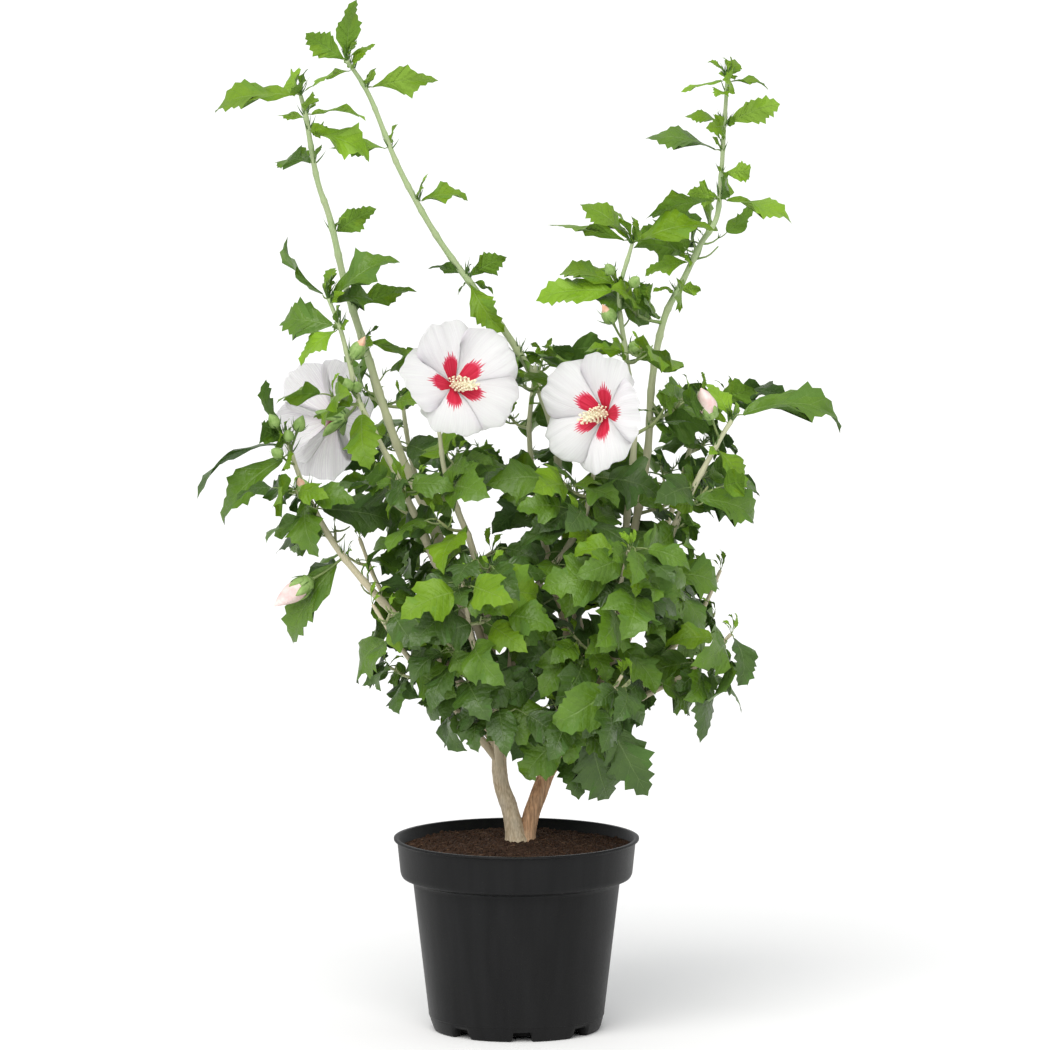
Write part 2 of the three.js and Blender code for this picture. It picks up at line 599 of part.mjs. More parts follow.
// A side twig stands on every other leaf node, shorter towards the shoot's tip.
function growTwigs(shoot, k) {
  shoot.twigs = [];
  shoot.leaves = [];
  for (let i = 0; i < shoot.nodes; i += 2) {
    const seed = 50 * k + i;
    const share = mix(shoot.leafy, shoot.upto, (i + 0.5) / shoot.nodes);
    const at = shoot.curve.getPoint(share);
    const heading = outward(at, shoot.turn + TURN * i);
    const length = shoot.twig * mix(0.6, 1, noise(seed + 0.3)) * mix(1.1, 0.6, share);
    const rise = mix(...TWIG_RISE, noise(seed + 0.5));
    const route = [at, at.clone().addScaledVector(direction(heading, rise - TWIG_BEND), length / 2),
      at.clone().addScaledVector(direction(heading, rise), length)];
    const free = clearOfBark(route[1], LIMB_CLEAR) && clearOfBark(route[2], LIMB_CLEAR);
    if (!free || !clearOfBlooms(route[2])) continue;
    const curve = new THREE.CatmullRomCurve3(route, false, "catmullrom", 0.5);
    shoot.twigs.push({ curve, heading, seed });
  }
  shoot.twigs.forEach(({ curve }) => lineWithBark(curve, TWIG_GIRTH));
}

function growLeaves(shoot, k) {
  const riseAt = (at, seed) => mix(...RISE, heightShare(at)) + RISE_SPREAD * (noise(seed) - 0.5);
  for (const { curve, heading, seed } of shoot.twigs) {
    TWIG_LEAVES.forEach(([share, aside], j) => {
      const at = curve.getPoint(share);
      const reach = shoot.reach * mix(0.75, 1.05, noise(seed + 0.11 * j));
      addLeaf(shoot, at, heading + aside, riseAt(at, seed + 7 * j), reach, seed + 0.17 * j);
    });
  }
  for (let i = 0; i < shoot.nodes; i++) {
    const seed = 50 * k + 25 + i;
    const at = shoot.curve.getPoint(mix(shoot.leafy, shoot.upto, (i + 0.5) / shoot.nodes));
    const heading = outward(at, shoot.turn + TURN * i + 40);
    addLeaf(shoot, at, heading, riseAt(at, seed), shoot.reach * mix(0.85, 1.1, noise(seed + 0.2)), seed);
  }
}

STEMS.forEach(({ route, girth }) => lineWithBark(curveOf(route), girth));
SHOOTS.forEach((shoot) => lineWithBark(shoot.curve, shoot.girth));
SHOOTS.forEach((shoot, k) => growTwigs(shoot, k));
SHOOTS.forEach((shoot, k) => {
  shoot.show.forEach(([height, heading, rise, reach], i) => {
    const at = shoot.curve.getPoint(shareAt(shoot.curve, height));
    addLeaf(shoot, at, heading, rise, reach, 900 + 20 * k + i, true);
  });
});
SHOOTS.forEach((shoot, k) => growLeaves(shoot, k));

// ---------------------------------------------------------------- flowers and buds
function bloomSolids({ centre, faces, turn }) {
  const middle = vec(centre);
  const axis = vec(faces).normalize();
  const across = new THREE.Vector3(0, 0, 1).cross(axis).normalize();
  const upward = axis.clone().cross(across);
  const petals = Array.from({ length: 5 }, (_, k) => {
    const angle = (72 * k + turn) * DEG;
    const spoke = across.clone().multiplyScalar(Math.cos(angle)).addScaledVector(upward, Math.sin(angle));
    const tilt = BLOOM.spread * DEG;
    const ahead = axis.clone().multiplyScalar(Math.cos(tilt)).addScaledVector(spoke, Math.sin(tilt));
    const face = axis.clone().multiplyScalar(Math.sin(tilt)).addScaledVector(spoke, -Math.cos(tilt));
    const base = middle.clone().addScaledVector(ahead, BLOOM.petalFoot);
    const length = BLOOM.petal - BLOOM.petalFoot;
    const frame = { ahead, face, side: face.clone().cross(ahead), base, length, bend: BLOOM.bend * DEG };
    return bladeSolid(PETAL, middle, frame, PETAL_DEPTH);
  });
  const along = (depth) => middle.clone().addScaledVector(axis, depth);
  const column = tube([along(-3), along(BLOOM.column)], [BLOOM.columnRadius, BLOOM.columnRadius], 5);
  const cupRadii = [2.4, BLOOM.calyxRadius, 6];
  const calyx = tube([along(-BLOOM.calyx), along(-BLOOM.calyx + 5), along(3)], cupRadii, 6);
  return { solids: [...petals, column, calyx], foot: along(-BLOOM.calyx + 2) };
}

function stalkTo(shoot, height, end) {
  const start = shoot.curve.getPoint(height ? shareAt(shoot.curve, height) : 1);
  return tube([start, start.clone().lerp(end, 0.5), end], [1.4, 1.2, 1.4], TWIG_SIDES);
}

function flowersOf(shoot) {
  const blooms = BLOOMS.filter((bloom) => bloom.shoot === shoot.name).flatMap((bloom) => {
    const { solids, foot } = bloomSolids(bloom);
    return [...solids, stalkTo(shoot, bloom.from, foot)];
  });
  const buds = BUDS.filter((bud) => bud.shoot === shoot.name).flatMap(({ from, tip, length, radius }) => {
    const start = shoot.curve.getPoint(shareAt(shoot.curve, from));
    const end = vec(tip);
    const ahead = end.clone().sub(start).normalize();
    const at = (share) => end.clone().addScaledVector(ahead, -length * (1 - share));
    const body = tube([0, 0.25, 0.65, 1].map(at), [0.3, 1, 0.9, 0.15].map((r) => r * radius), 5);
    return [body, stalkTo(shoot, from, at(0.1))];
  });
  return [...blooms, ...buds];
}

// ---------------------------------------------------------------- foliage masses
// Each mass is its shoot's stem from the bough's tip on, with side twigs, flowers, buds and leaves
// fused to it. A piece that would touch a limb or another mass is left off.
const placed = limbs.map(({ name, solid }) => ({ owner: name, solid }));

function touches(owner, solid) {
  const box = solid.boundingBox();
  return placed.some((other) => {
    if (other.owner === owner) return false;
    const b = other.box ?? (other.box = other.solid.boundingBox());
    const apart = [0, 1, 2].some((i) => box.min[i] > b.max[i] + GAP || b.min[i] > box.max[i] + GAP);
    return !apart && solid.minGap(other.solid, GAP * 2) < GAP * 1.2;
  });
}

function place(shoot, solids) {
  for (const solid of solids) {
    shoot.solids.push(solid);
    placed.push({ owner: shoot.name, solid });
  }
}

for (const shoot of SHOOTS) {
  const { curve, girth, leafy } = shoot;
  const speed = curve.getPoint(leafy + 0.001).distanceTo(curve.getPoint(leafy)) / 0.001;
  shoot.solids = [];
  place(shoot, [limb(curve, girth, leafy + STEM_GAP / speed, 1, STEM_SIDES)]);
}
SHOOTS.forEach((shoot) => place(shoot, flowersOf(shoot)));
for (const shoot of SHOOTS) {
  const twigs = shoot.twigs.map(({ curve }) => limb(curve, TWIG_GIRTH, 0, 1, TWIG_SIDES));
  place(shoot, twigs.filter((twig) => !touches(shoot.name, twig)));
}
for (const shoot of SHOOTS) {
  for (const leaf of shoot.leaves) {
    const solid = bladeSolid(LEAF, leaf.at, leaf.frame, STALK_DEPTH);
    if (!touches(shoot.name, solid)) place(shoot, [solid]);
  }
}
for (const shoot of SHOOTS) {
  const mass = mainBody(Manifold.union(shoot.solids));
  addNode("foliage_" + shoot.name, mass, MATERIALS.foliage);
}

export default part;
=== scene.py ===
# A rose of Sharon, a garden hibiscus, in its five-litre nursery pot. It is a living shrub: two woody
# stems that fork at the soil, twenty leafy shoots, three open flowers, six swollen buds and nine small
# green ones. The black pot is moulded in one piece and filled with peat. Everything is in the frame of
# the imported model.
import math

import bpy
import numpy as np
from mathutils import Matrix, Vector


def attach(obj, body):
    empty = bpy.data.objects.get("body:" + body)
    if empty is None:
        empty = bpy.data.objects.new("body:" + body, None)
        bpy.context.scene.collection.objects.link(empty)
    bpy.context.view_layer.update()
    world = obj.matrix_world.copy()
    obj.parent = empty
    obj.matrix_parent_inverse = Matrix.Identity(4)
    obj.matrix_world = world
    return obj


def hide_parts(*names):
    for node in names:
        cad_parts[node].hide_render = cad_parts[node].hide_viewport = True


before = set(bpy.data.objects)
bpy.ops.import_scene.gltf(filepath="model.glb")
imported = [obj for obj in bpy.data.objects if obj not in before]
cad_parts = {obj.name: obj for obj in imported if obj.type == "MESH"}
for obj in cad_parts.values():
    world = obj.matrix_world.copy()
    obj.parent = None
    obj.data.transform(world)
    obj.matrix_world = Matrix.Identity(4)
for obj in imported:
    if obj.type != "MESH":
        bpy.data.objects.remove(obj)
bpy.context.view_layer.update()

# ---------------------------------------------------------------- floor, light and camera
# The plant stands on a plain pale studio floor. An even white room lights it from all round, with one
# broad soft lamp high in front on the left. The camera stands far off and looks down a little.
FLOOR_HALF = 45.0
FLOOR_BELOW = 0.0003  # metres under the pot's feet
FLOOR_CLOUDS = 0.985  # how light its darker clouds are
FLOOR_COLOUR = (0.93, 0.93, 0.928, 1)
ROOM_LIGHT = 0.76
LAMP_STRENGTH = 2.35
LAMP_SPREAD = math.radians(50)
LAMP_SIDE = (-0.3, -1.0, 1.05)
CAMERA_AWAY = 15.0
CAMERA_REACH = 200.0
CAMERA_DOWN = math.radians(8.3)
SENSOR = 36.0
VIEW_WIDTH = 0.98175  # metres that the frame shows across, at the plant
AIM = np.array([0.008, 0.0, 0.477])

scene = bpy.context.scene
scene.view_settings.view_transform = "Standard"


def add(tree, kind, inputs, **settings):
    """One shader node: inputs is {socket name or number: a value, or the socket that feeds it}."""
    node = tree.nodes.new(kind)
    for key, value in settings.items():
        setattr(node, key, value)
    for key, value in inputs.items():
        if isinstance(value, bpy.types.NodeSocket):
            tree.links.new(value, node.inputs[key])
        else:
            node.inputs[key].default_value = value
    return node


def finish_named(name, **shader):
    """A new material whose shader has these plain values, as (material, its tree, its shader)."""
    material = bpy.data.materials.new(name)
    material.use_nodes = True
    tree = material.node_tree
    principled = tree.nodes["Principled BSDF"]
    for key, value in shader.items():
        principled.inputs[key.replace("_", " ")].default_value = value
    return material, tree, principled


def place_on(tree, kind="Object"):
    """Where a point lies on its own piece, or on the piece's UV map."""
    return add(tree, "ShaderNodeTexCoord", {}).outputs[kind]


def reckoned(tree, operation, *values):
    """The result of one sum between sockets or plain numbers."""
    return add(tree, "ShaderNodeMath", dict(enumerate(values)), operation=operation).outputs[0]


def ranged(tree, value, *limits):
    """The value carried over from one range to another, 0 to 1 if the second isn't given."""
    return add(tree, "ShaderNodeMapRange", dict(enumerate((value, *limits)))).outputs[0]


def mottled(tree, where, scale, low=0, high=1, detail=3.0, stretch=(1, 1, 1)):
    """Cloudy noise of that scale, stretched along an axis, and spread from low to high."""
    mapping = add(tree, "ShaderNodeMapping", {"Vector": where, "Scale": stretch})
    noise = add(tree, "ShaderNodeTexNoise", {"Vector": mapping.outputs[0], "Scale": scale, "Detail": detail})
    return ranged(tree, noise.outputs[0], 0.3, 0.7, low, high)


def blend_of(tree, share, first, second):
    """The first colour where share is 0 and the second where it is 1."""
    return add(tree, "ShaderNodeMix", {0: share, 6: first, 7: second}, data_type="RGBA").outputs[2]


def coloured(tree, shader, colour):
    """The surface takes its colour from that socket."""
    tree.links.new(colour, shader.inputs["Base Color"])


def toned(colour, share):
    """The colour made darker or lighter by that share."""
    return tuple(share * c for c in colour[:3]) + (1,)


def bumped(tree, shader, height, distance, strength=1.0):
    """Relief on the surface: a height of 1 stands for that distance in metres."""
    bump = add(tree, "ShaderNodeBump", {"Height": height, "Distance": distance, "Strength": strength})
    tree.links.new(bump.outputs[0], shader.inputs["Normal"])


def two_toned(name, first, second, scale, relief=0.0, kind="Object", grain=None, strength=1.0, detail=3.0,
              stretch=(1, 1, 1), **values):
    """A finish clouded between two colours. Its relief, in metres, comes from the same clouds, or from
    finer ones of the scale grain. values are plain values of the shader."""
    material, tree, shader = finish_named(name, **values)
    place = place_on(tree, kind)
    clouds = mottled(tree, place, scale, detail=detail, stretch=stretch)
    coloured(tree, shader, blend_of(tree, clouds, first, second))
    if relief:
        bumped(tree, shader, mottled(tree, place, grain) if grain else clouds, relief, strength)
    return material


floor_finish = two_toned("studio_floor", FLOOR_COLOUR, toned(FLOOR_COLOUR, FLOOR_CLOUDS), 0.6, Roughness=0.9)
sheet = bpy.data.meshes.new("floor")
corners = [(x * FLOOR_HALF, y * FLOOR_HALF, -FLOOR_BELOW) for x, y in ((-1, -1), (1, -1), (1, 1), (-1, 1))]
sheet.from_pydata(corners, [], [(0, 1, 2, 3)])
sheet.materials.append(floor_finish)
floor = bpy.data.objects.new("floor", sheet)
scene.collection.objects.link(floor)

room = bpy.data.worlds.new("white_room")
room.use_nodes = True
room.node_tree.nodes["Background"].inputs["Color"].default_value = (0.98, 0.99, 1.0, 1)
room.node_tree.nodes["Background"].inputs["Strength"].default_value = ROOM_LIGHT
scene.world = room


def aimed(obj, toward):
    """Turns a lamp or a camera so that it looks along a direction, with its top upwards."""
    obj.rotation_euler = Vector(toward).to_track_quat("-Z", "Y").to_euler()


lamp = bpy.data.lights.new("soft_lamp", "SUN")
lamp.energy = LAMP_STRENGTH
lamp.angle = LAMP_SPREAD
lamp.color = (1.0, 0.985, 0.96)
lamp_stand = bpy.data.objects.new("soft_lamp", lamp)
aimed(lamp_stand, [-c for c in LAMP_SIDE])
scene.collection.objects.link(lamp_stand)

lens = bpy.data.cameras.new("camera")
lens.sensor_width = SENSOR
lens.lens = SENSOR * CAMERA_AWAY / VIEW_WIDTH
lens.clip_end = CAMERA_REACH
camera = bpy.data.objects.new("camera", lens)
look = np.array([0.0, math.cos(CAMERA_DOWN), -math.sin(CAMERA_DOWN)])
camera.location = AIM - CAMERA_AWAY * look
aimed(camera, look)
scene.collection.objects.link(camera)
scene.camera = camera

# ---------------------------------------------------------------- pot
# The nursery pot is thin black polypropylene, injection moulded in one piece: a tapering body on eight
# short feet, with a stepped collar and a rolled rim. Drain notches between the feet go in under it.
# From here on the sizes are in millimetres, and new_piece turns them into metres.
MM = 0.001
POT_TURNS = 270  # faces round the pot
FLOOR_UNDER = 3.5
NOTCHES = 8
NOTCH_TURN = 4 - 90  # degrees of the middle of the first notch
NOTCH_HALF = 6.7  # degrees
NOTCH_HEIGHT = 9.0
NOTCH_EDGE = 1.4  # degrees over which its side rises
# Corners of the wall as (radius, height, rounding), from the middle underneath to the rim and back in.
POT_OUTSIDE = [(24, 0, 0), (26, FLOOR_UNDER, 1), (67.5, FLOOR_UNDER, 0), (69.5, FLOOR_UNDER, 0.8),
               (71, 0, 0.8), (78, 0, 1.5), (79.6, 4, 0), (81.7, 12.2, 0.4), (81.7, 13.0, 0.3),
               (82.4, 13.5, 0.4), (82.6, 17, 1), (96.9, 138.5, 1.5), (98.2, 141.2, 1.5),
               (107.2, 144.2, 1.6), (108.8, 148, 1.5), (111.9, 178, 1.0), (115, 179.2, 0.5),
               (115, 181, 0.8)]
POT_INSIDE = [(110.6, 181, 1.3), (107.1, 149.2, 1.5), (105.8, 146, 1.5), (96.6, 142.9, 1.5),
              (95.3, 138.5, 1.5), (80.7, 15, 2), (77.5, 6.5, 0.8)]
ROUNDING_STEPS = 5
INNER_LIFT = 2.5  # how much higher the floor inside stands over a notch
INNER_FLOOR = 6
FEET_FROM = 68.5  # radius outside which the notches cut


def new_piece(name, points, faces, materials, uv=None, choice=None, sharp=None, values=None):
    """A smooth mesh from one array of points in millimetres and a list of arrays of faces. uv has one
    place for each point, choice one material number for each face, and values one number for each
    point, kept as the attribute age. Edges whose two points are both marked sharp are creased."""
    mesh = bpy.data.meshes.new(name)
    corners = np.concatenate([f.ravel() for f in faces]).astype(np.int32)
    sizes = np.concatenate([np.full(len(f), f.shape[1]) for f in faces]).astype(np.int32)
    mesh.vertices.add(len(points))
    mesh.vertices.foreach_set("co", (np.asarray(points) * MM).astype(np.float32).ravel())
    mesh.loops.add(len(corners))
    mesh.loops.foreach_set("vertex_index", corners)
    mesh.polygons.add(len(sizes))
    mesh.polygons.foreach_set("loop_start", (np.cumsum(sizes) - sizes).astype(np.int32))
    for material in materials:
        mesh.materials.append(material)
    if choice is not None:
        mesh.polygons.foreach_set("material_index", np.asarray(choice, np.int32))
    mesh.update(calc_edges=True)
    mesh.polygons.foreach_set("use_smooth", np.ones(len(sizes), bool))
    if uv is not None:
        layer = mesh.uv_layers.new(name="UVMap")
        layer.uv.foreach_set("vector", np.asarray(uv, np.float32)[corners].ravel())
    if values is not None:
        attribute = mesh.attributes.new("age", "FLOAT", "POINT")
        attribute.data.foreach_set("value", np.asarray(values, np.float32))
    if sharp is not None:
        ends = np.empty(2 * len(mesh.edges), np.int32)
        mesh.edges.foreach_get("vertices", ends)
        creased = mesh.attributes.new("sharp_edge", "BOOLEAN", "EDGE")
        creased.data.foreach_set("value", np.asarray(sharp)[ends.reshape(-1, 2)].all(1))
    mesh.validate()
    piece = bpy.data.objects.new(name, mesh)
    scene.collection.objects.link(piece)
    return piece


def rounded(corners):
    """A profile whose corners are turned into arcs: each is a parabola between two points that lie the
    rounding away from the corner on its two sides."""
    line = []
    for before, corner, after in zip([corners[0]] + corners[:-1], corners, corners[1:] + [corners[-1]]):
        middle = np.array(corner[:2], float)
        arms = [np.array(end[:2], float) - middle for end in (before, after)]
        lengths = [np.linalg.norm(arm) for arm in arms]
        if corner[2] == 0 or min(lengths) == 0:
            line.append(middle)
            continue
        start, end = [middle + arm * min(corner[2] / size, 0.45) for arm, size in zip(arms, lengths)]
        for t in np.linspace(0, 1, ROUNDING_STEPS):
            line.append((1 - t) ** 2 * start + 2 * t * (1 - t) * middle + t * t * end)
    return np.array(line)


def grid_faces(rows, columns, closed=False, start=0):
    """Four-cornered faces between the points of a grid, numbered row by row from start. Where it is
    closed, the last column meets the first again."""
    across = np.arange(columns if closed else columns - 1)
    row, column = np.meshgrid(np.arange(rows - 1), across, indexing="ij")
    following = (column + 1) % columns
    corners = [row * columns + column, row * columns + following,
               (row + 1) * columns + following, (row + 1) * columns + column]
    return start + np.stack(corners, -1).reshape(-1, 4)


def fan_faces(middle, ring, outward=True):
    """Triangles that close a ring of points with one point in its middle."""
    following = np.roll(ring, -1)
    pair = [ring, following] if outward else [following, ring]
    return np.stack([np.full(len(ring), middle), *pair], -1)


def put_on(piece, slot, *nodes):
    """The piece moves with the plant and stands for those nodes, whose imported parts are hidden.
    slot is not used.
    """
    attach(piece, "root")
    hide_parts(*nodes)


outside = rounded(POT_OUTSIDE)
inside = rounded(POT_INSIDE)
profile = np.concatenate([outside, inside])
is_inside = np.arange(len(profile)) >= len(outside)
turn = np.linspace(0, 2 * np.pi, POT_TURNS, endpoint=False)
from_notch = (np.degrees(turn) - NOTCH_TURN + 180 / NOTCHES) % (360 / NOTCHES) - 180 / NOTCHES
lift = np.clip((NOTCH_HALF - np.abs(from_notch)) / NOTCH_EDGE + 0.5, 0, 1) * NOTCH_HEIGHT
radius = profile[:, :1] * np.ones_like(turn)
raised = np.where(is_inside[:, None], lift + INNER_LIFT * (lift > 0), lift)
height = np.where(radius > FEET_FROM, np.maximum(profile[:, 1:], raised), profile[:, 1:])
wall = np.stack([radius * np.cos(turn), radius * np.sin(turn), height], -1).reshape(-1, 3)
poles = [(0, 0, 0), (0, 0, INNER_FLOOR)]
last_ring = (len(profile) - 1) * POT_TURNS + np.arange(POT_TURNS)
faces = [grid_faces(len(profile), POT_TURNS, closed=True),
         fan_faces(len(wall), np.arange(POT_TURNS), False), fan_faces(len(wall) + 1, last_ring)]

plastic, tree, shader = finish_named("black_plastic", Roughness=0.42, Specular_IOR_Level=0.14)
place = place_on(tree)
drawn = mottled(tree, place, 90, stretch=(1, 1, 0.03))
grime = mottled(tree, place, 9, detail=6)
pitted = mottled(tree, place, 900)
tint = blend_of(tree, drawn, (0.0062, 0.0065, 0.0070, 1), (0.0100, 0.0103, 0.0110, 1))
film = reckoned(tree, "MULTIPLY", grime, 0.35)
coloured(tree, shader, blend_of(tree, film, tint, (0.012, 0.0115, 0.011, 1)))
tree.links.new(ranged(tree, grime, 0, 1, 0.36, 0.5), shader.inputs["Roughness"])
bumped(tree, shader, reckoned(tree, "MULTIPLY_ADD", drawn, 0.5, pitted), 0.00012, 0.6)

pot = new_piece("nursery_pot", np.concatenate([wall, poles]), faces, [plastic])
put_on(pot, "pot_plastic", "pot")

# ---------------------------------------------------------------- soil
# The pot is filled with dark peat compost, heaped a little round the trunk. Its surface is a crust of
# fine crumbs and short brown fibres that lie loose on it.
SOIL_RADIUS = 109.0
SOIL_EDGE = 172.0
SOIL_CROWN = 179.0
SOIL_BOTTOM = 152.0
SOIL_RINGS = 70
SOIL_TURNS = 180
SOIL_LUMPS = [(1.4, 17, 0), (1.1, 6, 50), (0.6, 2.4, 90)]  # height, size and where the noise is read
CRUMBS = 5200
FIBRES = 260
CRUMB_SIZE = (0.5, 2.8)
FIBRE_LENGTH = (4, 15)


def hashed(cells):
    """A number from 0 to 1 for each whole-numbered cell, the same each time."""
    value = np.sin(cells @ np.array([127.1, 311.7, 74.7])) * 43758.5453
    return value - np.floor(value)


def uneven(points, size):
    """Smooth noise from -1 to 1: each point blends the random numbers at the eight corners of the cube
    of that size in which it lies, with weights that ease in and out."""
    scaled = np.asarray(points, float) / size
    cell = np.floor(scaled)
    share = scaled - cell
    share = share * share * (3 - 2 * share)
    total = np.zeros(scaled.shape[:-1])
    for corner in np.ndindex(2, 2, 2):
        weight = np.prod(np.where(np.array(corner) == 1, share, 1 - share), -1)
        total += weight * hashed(cell + corner)
    return 2 * total - 1


def soil_height(x, y):
    """Height of the soil: a flat heap that falls towards the wall, with lumps of three sizes."""
    out = np.hypot(x, y) / SOIL_RADIUS
    heap = SOIL_CROWN - (SOIL_CROWN - SOIL_EDGE) * np.clip((out - 0.2) / 0.5, 0, 1) ** 1.3
    spot = np.stack([x, y, 0 * x], -1)
    level = heap - 0.5
    for high, size, shift in SOIL_LUMPS:
        level = level + high * uneven(spot + shift, size)
    return level


draws = np.random.default_rng(11)
ring = np.linspace(0.008, 1, SOIL_RINGS)[:, None] * SOIL_RADIUS
turn = np.linspace(0, 2 * np.pi, SOIL_TURNS, endpoint=False)
x, y = ring * np.cos(turn), ring * np.sin(turn)
top = np.stack([x, y, soil_height(x, y)], -1)
side = np.stack([x[-1] * 0.975, y[-1] * 0.975, np.full(SOIL_TURNS, SOIL_BOTTOM)], -1)
poles = [(0, 0, soil_height(np.zeros(1), np.zeros(1))[0]), (0, 0, SOIL_BOTTOM)]
heap = np.concatenate([top.reshape(-1, 3), side, poles])
rings = SOIL_RINGS + 1
first, last = np.arange(SOIL_TURNS), (rings - 1) * SOIL_TURNS + np.arange(SOIL_TURNS)
faces = [grid_faces(rings, SOIL_TURNS, closed=True)[:, ::-1],
         fan_faces(rings * SOIL_TURNS, first), fan_faces(rings * SOIL_TURNS + 1, last, False)]


def patchy(name, colours, grain, patches, share, relief, **values):
    """A finish of two colours in fine grain, under patches of a third that cover it by that share. The
    grain stands out by the relief in metres. grain and patches say what their noise is like."""
    material, tree, shader = finish_named(name, **values)
    place = place_on(tree)
    fine = mottled(tree, place, **grain)
    cover = reckoned(tree, "MULTIPLY", mottled(tree, place, **patches), share)
    coloured(tree, shader, blend_of(tree, cover, blend_of(tree, fine, *colours[:2]), colours[2]))
    bumped(tree, shader, fine, relief)
    return material


peat = patchy("peat", [(0.010, 0.0055, 0.0035, 1), (0.060, 0.030, 0.017, 1), (0.10, 0.052, 0.028, 1)],
              dict(scale=420, detail=8), dict(scale=60, detail=4), 0.4, 0.0008,
              Roughness=0.95, Specular_IOR_Level=0.25)

soil = new_piece("peat_heap", heap, faces, [peat])
put_on(soil, "potting_soil", "soil")


def scattered(count):
    """Random places on the soil, even over its area, as x and y."""
    out = np.sqrt(draws.uniform(0, 0.97, count)) * (SOIL_RADIUS - 1)
    way = draws.uniform(0, 2 * np.pi, count)
    return out * np.cos(way), out * np.sin(way)


# One crumb is a ball of twenty triangles on twelve points.
GOLD = (1 + 5 ** 0.5) / 2
LUMP = np.array([(-1, GOLD, 0), (1, GOLD, 0), (-1, -GOLD, 0), (1, -GOLD, 0), (0, -1, GOLD), (0, 1, GOLD),
                 (0, -1, -GOLD), (0, 1, -GOLD), (GOLD, 0, -1), (GOLD, 0, 1), (-GOLD, 0, -1), (-GOLD, 0, 1)])
LUMP = LUMP / np.linalg.norm(LUMP[0])
LUMP_FACES = np.array([(0, 11, 5), (0, 5, 1), (0, 1, 7), (0, 7, 10), (0, 10, 11), (1, 5, 9), (5, 11, 4),
                       (11, 10, 2), (10, 7, 6), (7, 1, 8), (3, 9, 4), (3, 4, 2), (3, 2, 6), (3, 6, 8),
                       (3, 8, 9), (4, 9, 5), (2, 4, 11), (6, 2, 10), (8, 6, 7), (9, 8, 1)])


def repeated(faces, count, points_each):
    """The faces of one shape, for a row of copies whose points follow one another."""
    return (faces[None] + points_each * np.arange(count)[:, None, None]).reshape(-1, faces.shape[1])


x, y = scattered(CRUMBS)
size = CRUMB_SIZE[0] + (CRUMB_SIZE[1] - CRUMB_SIZE[0]) * draws.random(CRUMBS) ** 3
squash = draws.uniform(0.6, 1.0, (CRUMBS, 1, 3))
bitten = 1 + draws.uniform(-0.28, 0.28, (CRUMBS, 12, 1))
middle = np.stack([x, y, soil_height(x, y) + 0.15 * size], -1)
lumps = middle[:, None] + LUMP * squash * bitten * size[:, None, None]
crumbs = new_piece("peat_crumbs", lumps.reshape(-1, 3), [repeated(LUMP_FACES, CRUMBS, 12)], [peat])
put_on(crumbs, "potting_soil", "soil")

# One fibre is a thin bowed stick of five rings of three points.
fibre_finish = two_toned("peat_fibre", (0.045, 0.022, 0.012, 1), (0.17, 0.095, 0.05, 1), 130, Roughness=0.9)
x, y = scattered(FIBRES)
way = draws.uniform(0, np.pi, FIBRES)
reach = draws.uniform(*FIBRE_LENGTH, FIBRES)
bow = draws.uniform(-0.25, 0.25, FIBRES)
share = np.linspace(-0.5, 0.5, 5)
run = share * reach[:, None]
bend = bow[:, None] * reach[:, None] * (4 * share ** 2)
px = x[:, None] + run * np.cos(way)[:, None] - bend * np.sin(way)[:, None]
py = y[:, None] + run * np.sin(way)[:, None] + bend * np.cos(way)[:, None]
inside_pot = np.hypot(px, py).max(1) < SOIL_RADIUS - 2
px, py = px[inside_pot], py[inside_pot]
line = np.stack([px, py, soil_height(px, py) + 0.7], -1)
thin = np.array([0.1, 0.38, 0.42, 0.38, 0.1])[None, :, None, None]
corner = np.radians([90, 210, 330])
across = np.stack([-np.sin(way), np.cos(way), 0 * way], -1)[inside_pot][:, None, None]
ring = across * np.cos(corner)[:, None] + np.array([0, 0, 1.0]) * np.sin(corner)[:, None]
sticks = line[:, :, None] + thin * ring
ends = np.array([(0, 2, 1), (12, 13, 14)])
fibres = new_piece("peat_fibres", sticks.reshape(-1, 3),
                   [repeated(grid_faces(5, 3, closed=True), len(sticks), 15),
                    repeated(ends, len(sticks), 15)],
                   [fibre_finish])
put_on(fibres, "potting_soil", "soil")

# ---------------------------------------------------------------- trunk and stems
# The woody foot forks at the soil into two stems. The left one has smooth tan bark with grey corky
# spots, the right one peels in red-brown fibres. Both flare where they enter the soil.
TRUNK_SIDES = 44
TRUNK_STEP = 0.9
FLARE = (2.2, 179.0, 5.0)  # extra radius at the soil, height of the soil, height over which it fades
LEFT_STEM = [(2.0, 1.0, 166), (-1.0, 0.7, 186), (-6, 0, 207), (-14, 0, 231), (-16, 0, 253), (-14, 0, 274)]
LEFT_GIRTH = [(166, 10.2), (186, 9.2), (207, 7.8), (231, 7.4), (253, 7.0), (274, 6.2)]
RIGHT_STEM = [(6.0, 2.4, 166), (10.5, 4.3, 187), (16, 6, 207), (27, 10, 237), (41, 14, 258), (57, 18, 279)]
RIGHT_GIRTH = [(166, 8.8), (187, 8.0), (207, 7.4), (237, 7.2), (258, 6.6), (279, 5.6)]


def line_through(route, shares):
    """Points at those shares of a smooth line through the route's points. Between two of them runs a
    cubic that leaves each along half of the step between its two neighbours."""
    points = np.array(route, float)
    points = np.vstack([2 * points[0] - points[1], points, 2 * points[-1] - points[-2]])
    place = np.atleast_1d(shares) * (len(route) - 1)
    span = np.minimum(np.floor(place).astype(int), len(route) - 2)
    t = (place - span)[:, None]
    before, start, end, after = (points[span + k] for k in range(4))
    leave, arrive = (end - before) / 2, (after - start) / 2
    return (start + leave * t + (3 * (end - start) - 2 * leave - arrive) * t ** 2
            + (2 * (start - end) + leave + arrive) * t ** 3)


